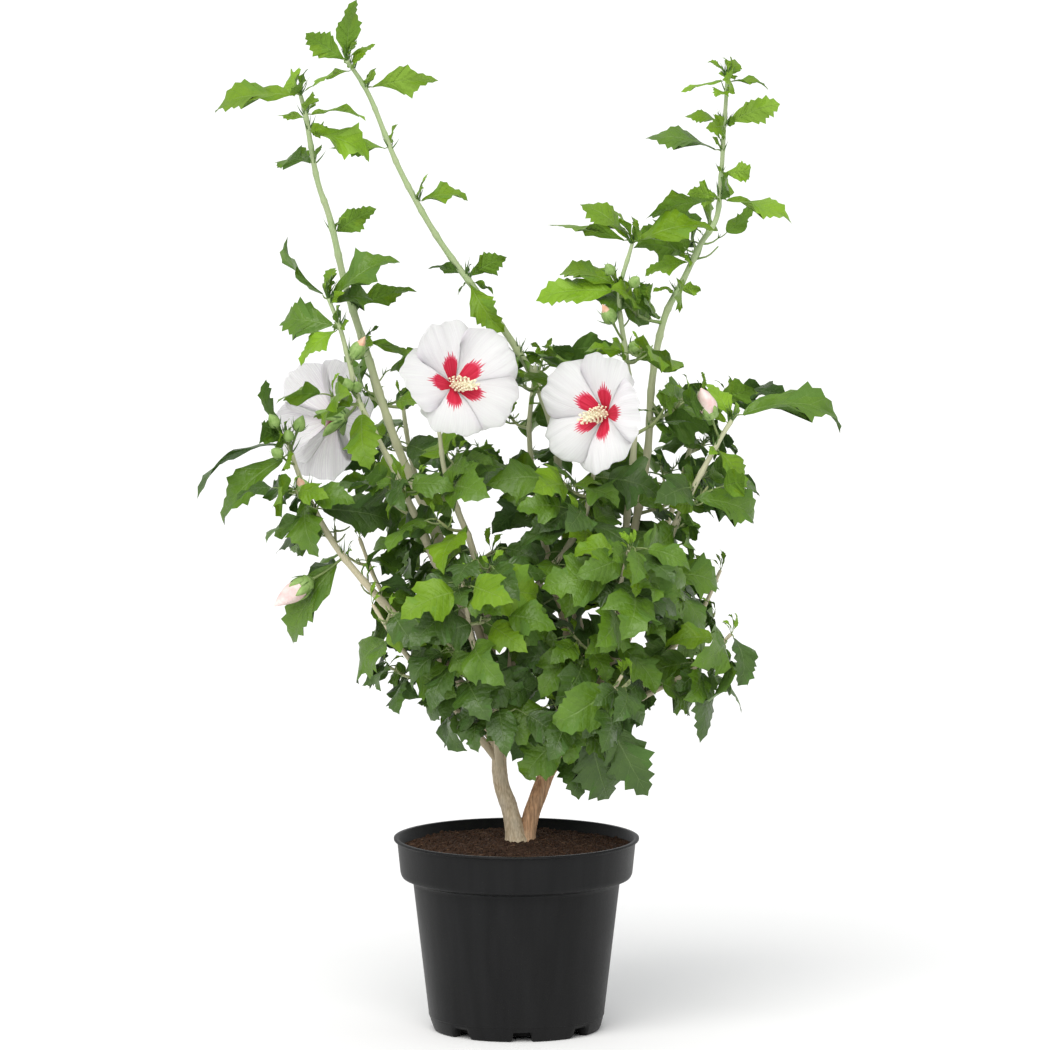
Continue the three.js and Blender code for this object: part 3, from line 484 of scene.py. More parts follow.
def length_of(route):
    """Length of the smooth line, as the sum of 200 straight steps."""
    return np.linalg.norm(np.diff(line_through(route, np.linspace(0, 1, 201)), axis=0), axis=1).sum()


def frame_along(line):
    """Directions along a line and two square to it: the world axis least along the line gives the
    first, made square, and the cross product the second."""
    ahead = np.gradient(line, axis=0)
    ahead /= np.linalg.norm(ahead, axis=1, keepdims=True)
    level = np.eye(3)[np.argmin(np.abs(ahead.mean(0)))]
    first = level - ahead * (ahead @ level)[:, None]
    first /= np.linalg.norm(first, axis=1, keepdims=True)
    return ahead, first, np.cross(ahead, first)


def ringed(line, radius, sides):
    """Rings of points round a line, square to it. radius is one number for each ring, or for each
    point of each ring."""
    _, first, second = frame_along(line)
    angle = np.linspace(0, 2 * np.pi, sides, endpoint=False)
    out = first[:, None] * np.cos(angle)[:, None] + second[:, None] * np.sin(angle)[:, None]
    size = radius[:, None] if np.ndim(radius) == 1 else radius
    return line[:, None] + out * np.broadcast_to(size, out.shape[:2])[..., None]


class Bundle:
    """Closed shapes of one kind, gathered into one piece."""

    def __init__(self):
        self.points, self.faces, self.values, self.count = [], [], [], 0

    def take(self, points, faces, values=None):
        """Adds one shape, with a list of arrays of faces and one number for each point."""
        self.points.append(points.reshape(-1, 3))
        self.faces += [f + self.count for f in faces]
        self.values.append(np.zeros(len(self.points[-1])) if values is None else values)
        self.count += len(self.points[-1])

    def take_tube(self, rings, values=None):
        """A tube from its rings, closed at both ends by a point just beyond the ring's middle."""
        count, sides = rings.shape[:2]
        middles = rings.mean(1)
        beyond = [0.2 * (middles[0] - middles[1]), 0.2 * (middles[-1] - middles[-2])]
        tips = middles[[0, -1]] + beyond
        last = (count - 1) * sides + np.arange(sides)
        faces = [grid_faces(count, sides, closed=True), fan_faces(count * sides, np.arange(sides), False),
                 fan_faces(count * sides + 1, last)]
        if values is not None:
            values = np.concatenate([np.repeat(values, sides), values[[0, -1]]])
        self.take(np.concatenate([rings.reshape(-1, 3), tips]), faces, values)

    def piece(self, name, materials, **more):
        """All that was gathered, as one piece: four-cornered faces first, then triangles."""
        quads = [f for f in self.faces if f.shape[1] == 4]
        threes = [f for f in self.faces if f.shape[1] == 3]
        groups = [np.concatenate(group) for group in (quads, threes) if group]
        return new_piece(name, np.concatenate(self.points), groups, materials,
                         values=np.concatenate(self.values), **more)


def distance_along(line):
    """How far each point of a line is from its start, along it."""
    return np.concatenate([[0], np.cumsum(np.linalg.norm(np.diff(line, axis=0), axis=1))])


def bark_coat(line, sides, radius):
    """Where each point of a limb's skin lies when the limb is pulled straight, for even noise on it."""
    run = distance_along(line)
    angle = np.linspace(0, 2 * np.pi, sides, endpoint=False)
    return np.stack([np.cos(angle) * radius[:, None], np.sin(angle) * radius[:, None],
                     run[:, None] + 0 * angle], -1)


def woody_stem(route, girth, relief):
    """A trunk limb: rings at even steps, their radius read from girth by height, wider at the soil by
    the flare, and roughened by the relief."""
    line = line_through(route, np.linspace(0, 1, int(length_of(route) / TRUNK_STEP)))
    extra, soil_level, fade = FLARE
    radius = np.interp(line[:, 2], *zip(*girth))
    radius = radius + extra * np.exp(-np.clip(line[:, 2] - soil_level, -4, None) / fade)
    coat = bark_coat(line, TRUNK_SIDES, radius)
    rings = ringed(line, radius[:, None] + relief(coat), TRUNK_SIDES)
    stem = Bundle()
    stem.take_tube(rings)
    return stem


def smooth_relief(coat):
    """Gentle hollows, fine cracks along the limb and small raised corky spots."""
    spots = np.clip(uneven(coat * (1, 1, 0.8) + 40, 1.7) - 0.42, 0, 1)
    girdles = np.clip(uneven(coat * (0.12, 0.12, 1) + 9, 5.0) - 0.35, 0, 1)
    return (0.35 * uneven(coat * (1, 1, 0.4), 7) + 0.16 * uneven(coat * (1, 1, 0.15) + 20, 1.6)
            + 0.7 * spots + 0.6 * girdles)


def peeling_relief(coat):
    """Long ridges and clefts that run with the limb, sharp on top, as bark that peels in strips."""
    ridges = 1 - np.abs(uneven(coat * (1, 1, 0.09) + 70, 2.6))
    shreds = 1 - np.abs(uneven(coat * (1, 1, 0.16) + 130, 1.3))
    return 1.15 * (ridges - 0.6) + 0.55 * (shreds - 0.6) + 0.5 * uneven(coat * (1, 1, 0.4), 8)


tan_bark = patchy("tan_bark", [(0.33, 0.235, 0.135, 1), (0.70, 0.58, 0.40, 1), (0.62, 0.56, 0.44, 1)],
                  dict(scale=700, detail=5, stretch=(1, 1, 0.25)), dict(scale=110, stretch=(1, 1, 0.5)),
                  0.5, 0.0004, Roughness=0.78, Specular_IOR_Level=0.3)
red_bark = patchy("peeling_bark", [(0.20, 0.085, 0.038, 1), (0.76, 0.44, 0.24, 1), (0.80, 0.58, 0.38, 1)],
                  dict(scale=620, detail=6, stretch=(1, 1, 0.09)), dict(scale=90, stretch=(1, 1, 0.35)),
                  0.45, 0.0009, Roughness=0.85, Specular_IOR_Level=0.2)

stem_left = woody_stem(LEFT_STEM, LEFT_GIRTH, smooth_relief).piece("left_stem", [tan_bark])
put_on(stem_left, "bark", "trunk", "stem_left")
stem_right = woody_stem(RIGHT_STEM, RIGHT_GIRTH, peeling_relief).piece("right_stem", [red_bark])
put_on(stem_right, "bark", "trunk", "stem_right")

# ---------------------------------------------------------------- boughs and leafy shoots
# Each shoot is one limb that tapers from its fork to its tip: tan bark at the foot, khaki above, and
# soft green where it is this year's growth. It swells a little at every leaf node. Side twigs stand
# on every other node, and each carries finer twigs.
# girth: radius at foot and tip. leafy: share of the route where the leaves begin. nodes: leaf nodes
# from there up to the share upto. twig: longest side twig. reach: leaf length with its stalk.
# show: leaves that stand free of the crown, as (height, heading, rise, reach) and for some their droop.
SHOOTS = [
    dict(name="tall_leader", girth=(5.0, 1.9), leafy=0.24, nodes=5, upto=0.5, twig=60,
         reach=74, turn=60,
         route=[(56, 18, 272), (59, 50, 342), (52, 70, 429), (39, 75, 490), (37, 72, 547),
                (14, 66, 611), (-29, 58, 678), (-72, 48, 739), (-109, 38, 807), (-137, 28, 877),
                (-158, 20, 912)],
         show=[(912, 100, 82, 60), (910, 185, 35, 52), (908, 340, 50, 32), (902, 205, 0, 48),
               (884, 10, 18, 70), (826, 172, 15, 60), (775, 0, 25, 52), (778, 215, 58, 30),
               (776, 70, 66, 32), (703, 10, 35, 44), (705, 180, 30, 38), (700, 295, -38, 66),
               (632, 0, -8, 52), (628, 310, -45, 56)]),
    dict(name="left_leader", girth=(5.4, 2.0), leafy=0.26, nodes=6, upto=0.56, twig=70,
         reach=74, turn=250,
         route=[(-14, 0, 266), (-22, 20, 318), (-28, 35, 363), (-43, 40, 410), (-71, 40, 457),
                (-111, 38, 545), (-141, 34, 638), (-160, 30, 700), (-174, 24, 762), (-186, 20, 800),
                (-196, 14, 858), (-201, 10, 880)],
         show=[(880, 180, 5, 88), (879, 0, 36, 48), (880, 95, 68, 28), (860, 350, 20, 62),
               (858, 195, 20, 32), (814, 225, 24, 58), (748, 30, 34, 48), (676, 5, 30, 66),
               (670, 65, 60, 30), (645, 352, -4, 60), (846, 355, -10, 68)]),
    dict(name="left_bloom", girth=(4.4, 1.8), leafy=0.34, nodes=5, upto=0.74, twig=60,
         reach=74, turn=20,
         route=[(-18, 8, 292), (-26, -15, 330), (-36, -25, 382), (-54, -30, 410), (-76, -34, 447),
                (-95, -36, 492), (-115, -36, 536), (-145, -32, 595), (-156, -28, 635),
                (-164, -25, 665), (-175, -20, 693)],
         show=[(693, 180, 36, 74), (693, 100, 65, 36), (691, 0, 46, 80), (688, 20, 20, 48),
               (665, 205, -18, 54), (668, 175, 10, 66), (590, 262, -34, 66)]),
    dict(name="left_arching", girth=(4.6, 1.9), leafy=0.4, nodes=5, upto=0.8, twig=55,
         reach=78, turn=110,
         route=[(-15, 0, 258), (-38, -20, 308), (-72, -30, 357), (-116, -35, 400), (-162, -36, 453),
                (-186, -34, 492), (-203, -30, 529), (-214, -26, 561)],
         show=[(561, 180, 50, 64), (560, 205, 22, 46), (556, 184, 6, 110, 78), (548, 196, -26, 104, 52),
               (512, 262, -28, 78), (497, 352, 0, 86), (520, 40, 30, 50), (452, 192, -46, 104, 36)]),
    dict(name="middle_left_bloom", girth=(4.2, 1.9), leafy=0.3, nodes=8, upto=0.9, twig=60,
         reach=76, turn=300,
         route=[(-22, 18, 312), (-25, -45, 385), (-40, -50, 458), (-55, -50, 499), (-67, -48, 536),
                (-72, -46, 572)],
         show=[]),
    dict(name="middle_right_bloom", girth=(4.2, 1.9), leafy=0.3, nodes=8, upto=0.9, twig=60,
         reach=76, turn=75,
         route=[(-14, 0, 262), (-6, -12, 323), (-2, -22, 371), (14, -28, 415), (46, -34, 459),
                (63, -38, 489), (71, -40, 526), (75, -42, 552)],
         show=[]),
    dict(name="right_middle", girth=(5.0, 1.8), leafy=0.4, nodes=8, upto=0.86, twig=62,
         reach=74, turn=160,
         route=[(57, 18, 272), (83, 10, 320), (93, 4, 368), (94, 0, 416), (99, 0, 444), (105, -2, 501),
                (110, -2, 567), (103, 0, 633), (96, 4, 692), (108, 8, 741)],
         show=[(741, 180, 26, 84), (741, 172, 54, 64), (740, 5, 28, 86), (742, 60, 60, 32),
               (696, 188, 8, 82), (700, 172, 30, 66), (718, 182, 12, 60)]),
    dict(name="right_leader", girth=(4.2, 1.8), leafy=0.14, nodes=7, upto=0.62, twig=62,
         reach=74, turn=10,
         route=[(94, 4, 412), (104, 16, 442), (114, 24, 488), (123, 30, 544), (127, 34, 609),
                (138, 36, 666), (156, 38, 703), (172, 40, 736), (187, 42, 761), (191, 42, 797),
                (194, 42, 844), (197, 42, 893)],
         show=[(890, 172, -2, 46), (893, 50, 42, 30), (892, 285, 4, 38), (889, 5, 8, 42),
               (849, 185, 30, 40), (849, 5, 30, 58), (846, 265, 10, 44), (822, 180, 28, 76),
               (803, 335, 6, 42), (778, 355, -2, 74), (778, 190, 0, 78), (777, 300, 42, 44),
               (720, 188, -3, 48), (692, 285, 2, 60), (882, 178, 10, 42),
               (884, 20, 28, 36), (878, 255, 20, 34)]),
    dict(name="right_arching", girth=(4.6, 1.9), leafy=0.34, nodes=6, upto=0.72, twig=60,
         reach=76, turn=200,
         route=[(82, 10, 316), (97, -6, 355), (113, -12, 392), (132, -16, 430), (148, -18, 479),
                (169, -18, 522), (191, -16, 562), (201, -14, 578)],
         show=[(578, 0, 26, 126, 72), (577, 150, 68, 46), (574, 192, 40, 46), (552, 345, -38, 52),
               (505, 0, -2, 80), (481, 255, -25, 78), (432, 5, 5, 72), (428, 345, -25, 76)]),
    dict(name="back_right", girth=(4.4, 1.8), leafy=0.3, nodes=9, upto=1, twig=66,
         reach=76, turn=330,
         route=[(72, 14, 300), (88, 50, 345), (115, 80, 405), (142, 95, 465), (162, 98, 530),
                (172, 92, 590)],
         show=[]),
    dict(name="back_middle", girth=(4.4, 1.8), leafy=0.3, nodes=9, upto=1, twig=66,
         reach=76, turn=40,
         route=[(58, 40, 322), (46, 70, 370), (30, 98, 430), (18, 115, 490), (12, 118, 550),
                (18, 112, 612)],
         show=[]),
    dict(name="back_left", girth=(4.4, 1.8), leafy=0.3, nodes=9, upto=1, twig=66,
         reach=76, turn=190,
         route=[(-20, 14, 302), (-38, 50, 350), (-62, 85, 410), (-84, 104, 470), (-100, 106, 530),
                (-108, 98, 585)],
         show=[]),
    dict(name="low_right", girth=(3.8, 1.6), leafy=0.3, nodes=8, upto=1, twig=52,
         reach=80, turn=280,
         route=[(52, 17, 270), (90, -5, 300), (130, -28, 325), (170, -42, 350), (200, -42, 380)],
         show=[(350, 300, -50, 76), (372, 300, -48, 78), (380, 302, -28, 60)]),
    dict(name="low_back_right", girth=(3.8, 1.6), leafy=0.3, nodes=8, upto=1, twig=52,
         reach=80, turn=80,
         route=[(56, 18, 276), (95, 48, 308), (138, 76, 340), (172, 92, 378), (192, 96, 420)],
         show=[]),
    dict(name="low_left", girth=(3.8, 1.6), leafy=0.3, nodes=8, upto=1, twig=52,
         reach=78, turn=230,
         route=[(-16, 0, 252), (-45, -18, 292), (-82, -40, 335), (-112, -52, 375), (-134, -54, 410)],
         show=[]),
    dict(name="low_back_left", girth=(3.8, 1.6), leafy=0.3, nodes=8, upto=1, twig=52,
         reach=78, turn=130,
         route=[(-18, 8, 282), (-52, 38, 318), (-92, 72, 356), (-128, 94, 402), (-148, 100, 450)],
         show=[]),
    dict(name="low_front", girth=(3.8, 1.6), leafy=0.3, nodes=8, upto=1, twig=50,
         reach=80, turn=260,
         route=[(32, 11, 246), (44, -25, 272), (62, -64, 298), (82, -98, 322), (98, -112, 352)],
         show=[(280, 285, -42, 62), (302, 300, -64, 88), (318, 335, -60, 96, 30)]),
    dict(name="low_back", girth=(3.8, 1.6), leafy=0.3, nodes=8, upto=1, twig=52,
         reach=80, turn=100,
         route=[(38, 13, 256), (38, 50, 290), (30, 92, 325), (20, 122, 365), (14, 134, 410)],
         show=[]),
    dict(name="front_left", girth=(3.8, 1.6), leafy=0.3, nodes=9, upto=1, twig=54,
         reach=78, turn=290,
         route=[(-15, 0, 246), (-20, -36, 288), (-30, -76, 335), (-42, -104, 388), (-50, -112, 440)],
         show=[]),
    dict(name="front_right", girth=(3.8, 1.6), leafy=0.3, nodes=9, upto=1, twig=54,
         reach=78, turn=250,
         route=[(46, 15, 262), (58, -20, 312), (78, -58, 365), (92, -90, 415), (104, -102, 468)],
         show=[]),
]
TURN = 137.5  # degrees round the stem from one leaf to the next
CROWN_AXIS = np.array([15.0, 0.0])
LIMB_CLEAR = 3.0  # least distance between a leaf and the bark of a limb
# The cone that the lowest leaf tips keep above.
SKIRT = dict(axis=(50, 0), radius=100, height=225, slope=0.95)
TWIG_GIRTH = (1.8, 1.0)
FINE_TWIG_GIRTH = (1.1, 0.7)
SHOOT_SIDES = 14
SHOOT_STEP = 3.0
TWIG_SIDES = 7
NODE_SPACING = 27.0
FINE_TWIGS = [(0.35, -75), (0.62, 70), (0.85, -50)]  # share of the twig, and degrees aside from it
BARK_POINTS = 8.0  # millimetres from one point to the next where leaves are kept clear of a limb
YOUNG_WOOD = (430, 260)  # height from which the bark gets younger, and over which it does
# Open flowers, as the shoot that carries each, its throat, the way it faces, how far its petals are
# turned, and how its column leans. The last one's stalk starts at a height below the shoot's tip.
BLOOMS = [
    dict(shoot="middle_left_bloom", centre=(-59, -76, 618), faces=(0.35, -0.84, 0.42), turn=33,
         leans=(0.9, 0, -0.8)),
    dict(shoot="middle_right_bloom", centre=(84, -76, 592), faces=(-0.56, -0.8, 0.2), turn=5,
         leans=(-0.5, 0, -0.7)),
    dict(shoot="left_bloom", centre=(-168, 8, 577), faces=(-0.6, 0.79, -0.12), turn=-16,
         leans=(0, 0, -0.4), start=600),
]
PETAL = 65.0


def draw(n):
    """A number from 0 to 1 that looks random and is the same each time."""
    value = math.sin(n * 12.9898) * 43758.5453
    return value - math.floor(value)


def mix(low, high, share):
    """From low to high in a straight line."""
    return low + (high - low) * share


def direction(heading, rise):
    """Unit vector with a heading in degrees from +X towards +Y, and a rise above level."""
    h, r = math.radians(heading), math.radians(rise)
    return np.array([math.cos(h) * math.cos(r), math.sin(h) * math.cos(r), math.sin(r)])


def unit(vector):
    """The vector made one long."""
    return np.array(vector) / np.linalg.norm(vector)


def outward(at, heading):
    """A heading turned part of the way towards the outside of the crown."""
    out = (at[:2] - CROWN_AXIS) / 200 + direction(heading, 0)[:2]
    return math.degrees(math.atan2(out[1], out[0]))


def share_at(route, height):
    """Share of a rising route at which it reaches a height, found by halving."""
    low, high = 0.0, 1.0
    for _ in range(30):
        middle = (low + high) / 2
        if line_through(route, middle)[0, 2] < height:
            low = middle
        else:
            high = middle
    return low


def bowed_twig(at, heading, rise, sag, length):
    """Three points of a twig, whose middle one is reached at a rise that is less by the sag."""
    return [at, at + direction(heading, rise - sag) * length / 2, at + direction(heading, rise) * length]


bark_points = []
bark_radii = []


def note_bark(route, girth):
    """Keeps points along a limb, so that leaves stay clear of it."""
    shares = np.linspace(0, 1, math.ceil(length_of(route) / BARK_POINTS) + 1)
    bark_points.extend(line_through(route, shares))
    bark_radii.extend(mix(*girth, shares))


def clear_of_bark(points, room):
    """True where no point is nearer than room to any limb."""
    limbs = bark_array[0]
    apart = np.linalg.norm(np.atleast_2d(points)[:, None] - limbs[None], axis=2)
    return bool((apart > bark_array[1] + room).all())


def clear_of_blooms(point, behind=0.0):
    """Flowers look out of the crown: a point in the room in front of one is not clear, nor one that
    is near behind it."""
    for bloom in BLOOMS:
        ahead = unit(bloom["faces"])
        offset = point - np.array(bloom["centre"])
        depth = min(max(offset @ ahead, -behind), PETAL * 1.5)
        if np.linalg.norm(offset - ahead * depth) <= PETAL * 0.85:
            return False
    return True


def above_skirt(point):
    """The crown narrows towards its foot: no leaf reaches below the cone."""
    away = math.hypot(point[0] - SKIRT["axis"][0], point[1] - SKIRT["axis"][1]) - SKIRT["radius"]
    return point[2] > SKIRT["height"] + SKIRT["slope"] * max(away, 0)


# Both stems, from above the soil to just below their tops.
note_bark([(-6, 0, 207), (-14, 0, 231), (-16, 0, 253), (-14, 0, 272)], (7.6, 6.6))
note_bark([(16, 6, 207), (27, 10, 237), (41, 14, 258), (57, 18, 278)], (6.8, 5.6))
for shoot in SHOOTS:
    note_bark(shoot["route"], shoot["girth"])
for k, shoot in enumerate(SHOOTS):
    bark_array = np.array(bark_points), np.array(bark_radii)
    shoot["twigs"] = []
    for i in range(0, shoot["nodes"], 2):
        seed = 50 * k + i
        share = mix(shoot["leafy"], shoot["upto"], (i + 0.5) / shoot["nodes"])
        at = line_through(shoot["route"], share)[0]
        heading = outward(at, shoot["turn"] + TURN * i)
        length = shoot["twig"] * mix(0.6, 1, draw(seed + 0.3)) * mix(1.1, 0.6, share)
        rise = mix(15, 45, draw(seed + 0.5))
        route = bowed_twig(at, heading, rise, 12, length)
        if clear_of_bark(route[1:], 3) and clear_of_blooms(route[2]):
            shoot["twigs"].append(dict(route=route, heading=heading, seed=seed, length=length))
    for twig in shoot["twigs"]:
        note_bark(twig["route"], TWIG_GIRTH)
bark_array = np.array(bark_points), np.array(bark_radii)

boughs, green_shoots, side_twigs = Bundle(), Bundle(), Bundle()


def node_swelling(run):
    """Extra radius, as a share, that rises to a low ring at every leaf node along the limb."""
    from_node = np.abs((run / NODE_SPACING + 0.5) % 1 - 0.5) * NODE_SPACING
    return 0.16 * np.exp(-(from_node / 2.2) ** 2) + 0.06 * np.exp(-(from_node / 6) ** 2)


def limb_rings(route, girth, sides, step, roughness, start=0.0, end=1.0):
    """Rings of one limb between two shares: a straight taper, swollen at the nodes, with bark relief
    of long fine ridges. Gives the rings and how young the bark is, from 0 to 1."""
    rings = max(4, int(length_of(route) * (end - start) / step))
    line = line_through(route, np.linspace(start, end, rings))
    run = distance_along(line)
    radius = mix(*girth, np.linspace(start, end, len(line))) * (1 + node_swelling(run))
    coat = bark_coat(line, sides, radius)
    relief = roughness * (uneven(coat * (1, 1, 0.2) + route[0][0], 2.2) + 0.5 * uneven(coat + 5, 1.1))
    youth = np.clip((line[:, 2] - YOUNG_WOOD[0]) / YOUNG_WOOD[1], 0, 1)
    return ringed(line, radius[:, None] + relief, sides), youth


for shoot in SHOOTS:
    limb = (shoot["route"], shoot["girth"], SHOOT_SIDES, SHOOT_STEP)
    boughs.take_tube(*limb_rings(*limb, 0.2, 0, shoot["leafy"]))
    green_shoots.take_tube(*limb_rings(*limb, 0.1, shoot["leafy"] - 0.002))
    shoot["fine_twigs"] = []
    for twig in shoot["twigs"]:
        rings, youth = limb_rings(twig["route"], TWIG_GIRTH, TWIG_SIDES, 4, 0.05)
        side_twigs.take_tube(rings, np.maximum(youth, 0.35))
        for j, (share, aside) in enumerate(FINE_TWIGS):
            seed = twig["seed"] + 0.37 * (j + 1)
            at = line_through(twig["route"], share)[0]
            heading = twig["heading"] + aside + 30 * (draw(seed) - 0.5)
            rise = mix(5, 45, draw(seed + 0.4))
            length = twig["length"] * mix(0.32, 0.5, draw(seed + 0.8))
            route = bowed_twig(at, heading, rise, 15, length)
            if clear_of_bark(route[1:], 1) and clear_of_blooms(route[2]):
                shoot["fine_twigs"].append(dict(route=route, heading=heading, seed=seed))
                rings, youth = limb_rings(route, FINE_TWIG_GIRTH, 6, 4, 0.03)
                side_twigs.take_tube(rings, np.maximum(youth, 0.6))


def shoot_bark(name, oldest, middle, youngest, roughness):
    """Thin bark whose colour runs from the oldest wood to the youngest by the attribute age."""
    material, tree, shader = finish_named(name, Roughness=roughness, Specular_IOR_Level=0.4)
    place = place_on(tree)
    age = add(tree, "ShaderNodeAttribute", {}, attribute_name="age").outputs["Fac"]
    tint = blend_of(tree, ranged(tree, age, 0, 0.5), oldest, middle)
    tint = blend_of(tree, ranged(tree, age, 0.5, 1), tint, youngest)
    fine = mottled(tree, place, 600, detail=5, stretch=(1, 1, 0.3))
    patch = mottled(tree, place, 70, 0, 0.3)
    tint = blend_of(tree, 0.8, blend_of(tree, fine, toned(middle, 0.74), tint), tint)
    coloured(tree, shader, blend_of(tree, patch, tint, (0.50, 0.46, 0.34, 1)))
    bumped(tree, shader, fine, 0.0002)
    return material


bough_bark = shoot_bark(
    "bough_bark", (0.55, 0.46, 0.31, 1), (0.64, 0.59, 0.41, 1), (0.46, 0.53, 0.29, 1), 0.7)
shoot_skin = shoot_bark(
    "shoot_skin", (0.60, 0.53, 0.36, 1), (0.54, 0.56, 0.34, 1), (0.35, 0.48, 0.22, 1), 0.5)
twig_skin = shoot_bark(
    "twig_skin", (0.42, 0.37, 0.21, 1), (0.27, 0.34, 0.12, 1), (0.18, 0.32, 0.07, 1), 0.5)
foliage_nodes = ["foliage_" + shoot["name"] for shoot in SHOOTS]
put_on(boughs.piece("bough_wood", [bough_bark]), "bark", *["bough_" + shoot["name"] for shoot in SHOOTS])
put_on(green_shoots.piece("leafy_shoots", [shoot_skin]), "bark", *foliage_nodes)
put_on(side_twigs.piece("side_twigs", [twig_skin]), "bark", *foliage_nodes)

# ---------------------------------------------------------------- leaves
# Leaves stand singly at the nodes on green stalks. A blade has three lobes with blunt teeth, is
# thickest along its midrib, and bends down and waves at its edge. Old leaves low in the crown are
# deep green and satin, new ones at the tips bright yellow-green. That deep green is partly painted
# shade of the lower crown, and that yellow-green is partly painted glow of light through new leaves.
CROWD = 24.0  # least distance between the middles of two of the main leaves
FINE_CROWD = 19.0
SHOWN_CROWD = 12.0
SMALL_CROWD = 11.0
BUD_CROWD = 4.0
CROWN_FOOT = 260.0
CROWN_SPAN = 420.0  # height over which leaves change from hanging to upright
TWIG_LEAVES = [(1, 0), (0.8, 62), (0.56, -62), (0.34, 70)]  # share of the twig, degrees aside from it
FINE_TWIG_LEAVES = [(1, 0), (0.7, 65), (0.4, -65)]
SMALL_LEAVES = [64, -70]  # degrees from a main leaf to the smaller ones beside it
SMALL_SHARE = 0.38  # of the main leaves that have them
STALK_SHARE = 0.21
YOUNG_STALK_SHARE = 0.09
STALK_GIRTH = (1.0, 0.65)
MIDRIB_DEPTH = 0.014  # of the blade's length
CURLS_FROM = 0.6  # share of the blade's length from which its tip curls more
# Half outline of a blade from its foot to its tip, as (along, across) shares of its length: with three
# lobes, with one, and the narrow-footed wedge of the young shoots. VEIN_FEET is where the side vein to
# each of those points leaves the midrib.
LOBED = [(0.015, 0.08), (0.055, 0.18), (0.13, 0.27), (0.23, 0.34), (0.33, 0.385), (0.43, 0.445),
         (0.51, 0.45), (0.565, 0.395), (0.55, 0.295), (0.52, 0.20), (0.61, 0.195), (0.69, 0.22),
         (0.76, 0.185), (0.84, 0.115), (0.925, 0.05)]
PLAIN = [(0.015, 0.09), (0.06, 0.19), (0.14, 0.275), (0.24, 0.325), (0.34, 0.34), (0.39, 0.295),
         (0.45, 0.33), (0.515, 0.30), (0.535, 0.25), (0.61, 0.265), (0.665, 0.22), (0.685, 0.18),
         (0.76, 0.165), (0.84, 0.10), (0.925, 0.045)]
WEDGE = [(0.02, 0.02), (0.10, 0.05), (0.19, 0.095), (0.28, 0.15), (0.37, 0.20), (0.45, 0.26), (0.51, 0.235),
         (0.57, 0.305), (0.62, 0.24), (0.69, 0.255), (0.725, 0.18), (0.80, 0.185), (0.84, 0.12),
         (0.90, 0.10), (0.95, 0.05)]
VEIN_FEET = [0.01, 0.03, 0.06, 0.10, 0.15, 0.20, 0.26, 0.31, 0.36, 0.42, 0.49, 0.57, 0.66, 0.76, 0.88]
# How far each of those points stands out as a tooth, or in as the notch between two.
TEETH = 0.016 * np.array([0, 0, 0, 0.3, -0.6, 1, -1, 1, -0.7, -0.3, -1, 1, -1, 0.8, -0.4])
SHADES = ["deep", "mid", "fresh", "young"]
# Openings where sky shows through the crown from front to back, as (x, height, half width, half height).
OPENINGS = [(-153, 472, 25, 24), (-162, 400, 31, 34), (-117, 616, 14, 22), (-38, 482, 16, 22),
            (-1, 574, 20, 15), (8, 655, 20, 13), (146, 655, 17, 17), (190, 622, 21, 18), (216, 380, 28, 27),
            (200, 437, 32, 28), (222, 555, 16, 13), (208, 489, 15, 13), (137, 284, 16, 28), (-104, 540, 9, 9),
            (52, 664, 22, 18), (200, 746, 24, 13)]
OPENING_RISE = 0.146  # an opening lies this much lower for each step to the back

leaves = []
leaf_middles = []


def leaf_frame(leaf):
    """The leaf's own directions: ahead from its heading and rise, its face up and away from the
    crown's axis and rolled about ahead, and its side square to both."""
    at = leaf["at"]
    ahead = direction(leaf["heading"], leaf["rise"])
    out = np.array([*(at[:2] - CROWN_AXIS), 0]) / 80
    out *= min(1, 1.3 / max(np.linalg.norm(out), 1e-9))
    face = np.array([0, 0, 0.7]) + out
    face = unit(face - ahead * (face @ ahead))
    roll = math.radians(leaf["roll"])
    face = face * math.cos(roll) + np.cross(face, ahead) * math.sin(roll)
    stalk = leaf["reach"] * (YOUNG_STALK_SHARE if leaf["kind"] == "show" else STALK_SHARE)
    leaf.update(ahead=ahead, face=face, side=np.cross(face, ahead), foot=at + ahead * stalk,
                length=leaf["reach"] - stalk, bend=math.radians(leaf["droop"]))


def on_blade(leaf, along, across):
    """Points of a plain blade: it bends away from its face along an arc, and sags to both sides."""
    angle = leaf["bend"] * along
    forward, down = np.sin(angle) / leaf["bend"], (1 - np.cos(angle)) / leaf["bend"]
    size = leaf["length"]
    return (leaf["foot"] + np.outer(size * forward, leaf["ahead"]) + np.outer(across * size, leaf["side"])
            - np.outer(size * (down + 0.35 * across * across), leaf["face"]))


def in_opening(points):
    """True where any point, seen from the front, lies inside one of the openings' ellipses."""
    x, z, wide, high = np.array(OPENINGS, float).T[:, :, None]
    height = points[:, 2] + OPENING_RISE * points[:, 1]
    return bool((((points[:, 0] - x) / wide) ** 2 + ((height - z) / high) ** 2 < 1).any())


def height_share(at):
    """Share of the way up the crown, from 0 at its foot to 1."""
    return min(max((at[2] - CROWN_FOOT) / CROWN_SPAN, 0), 1)


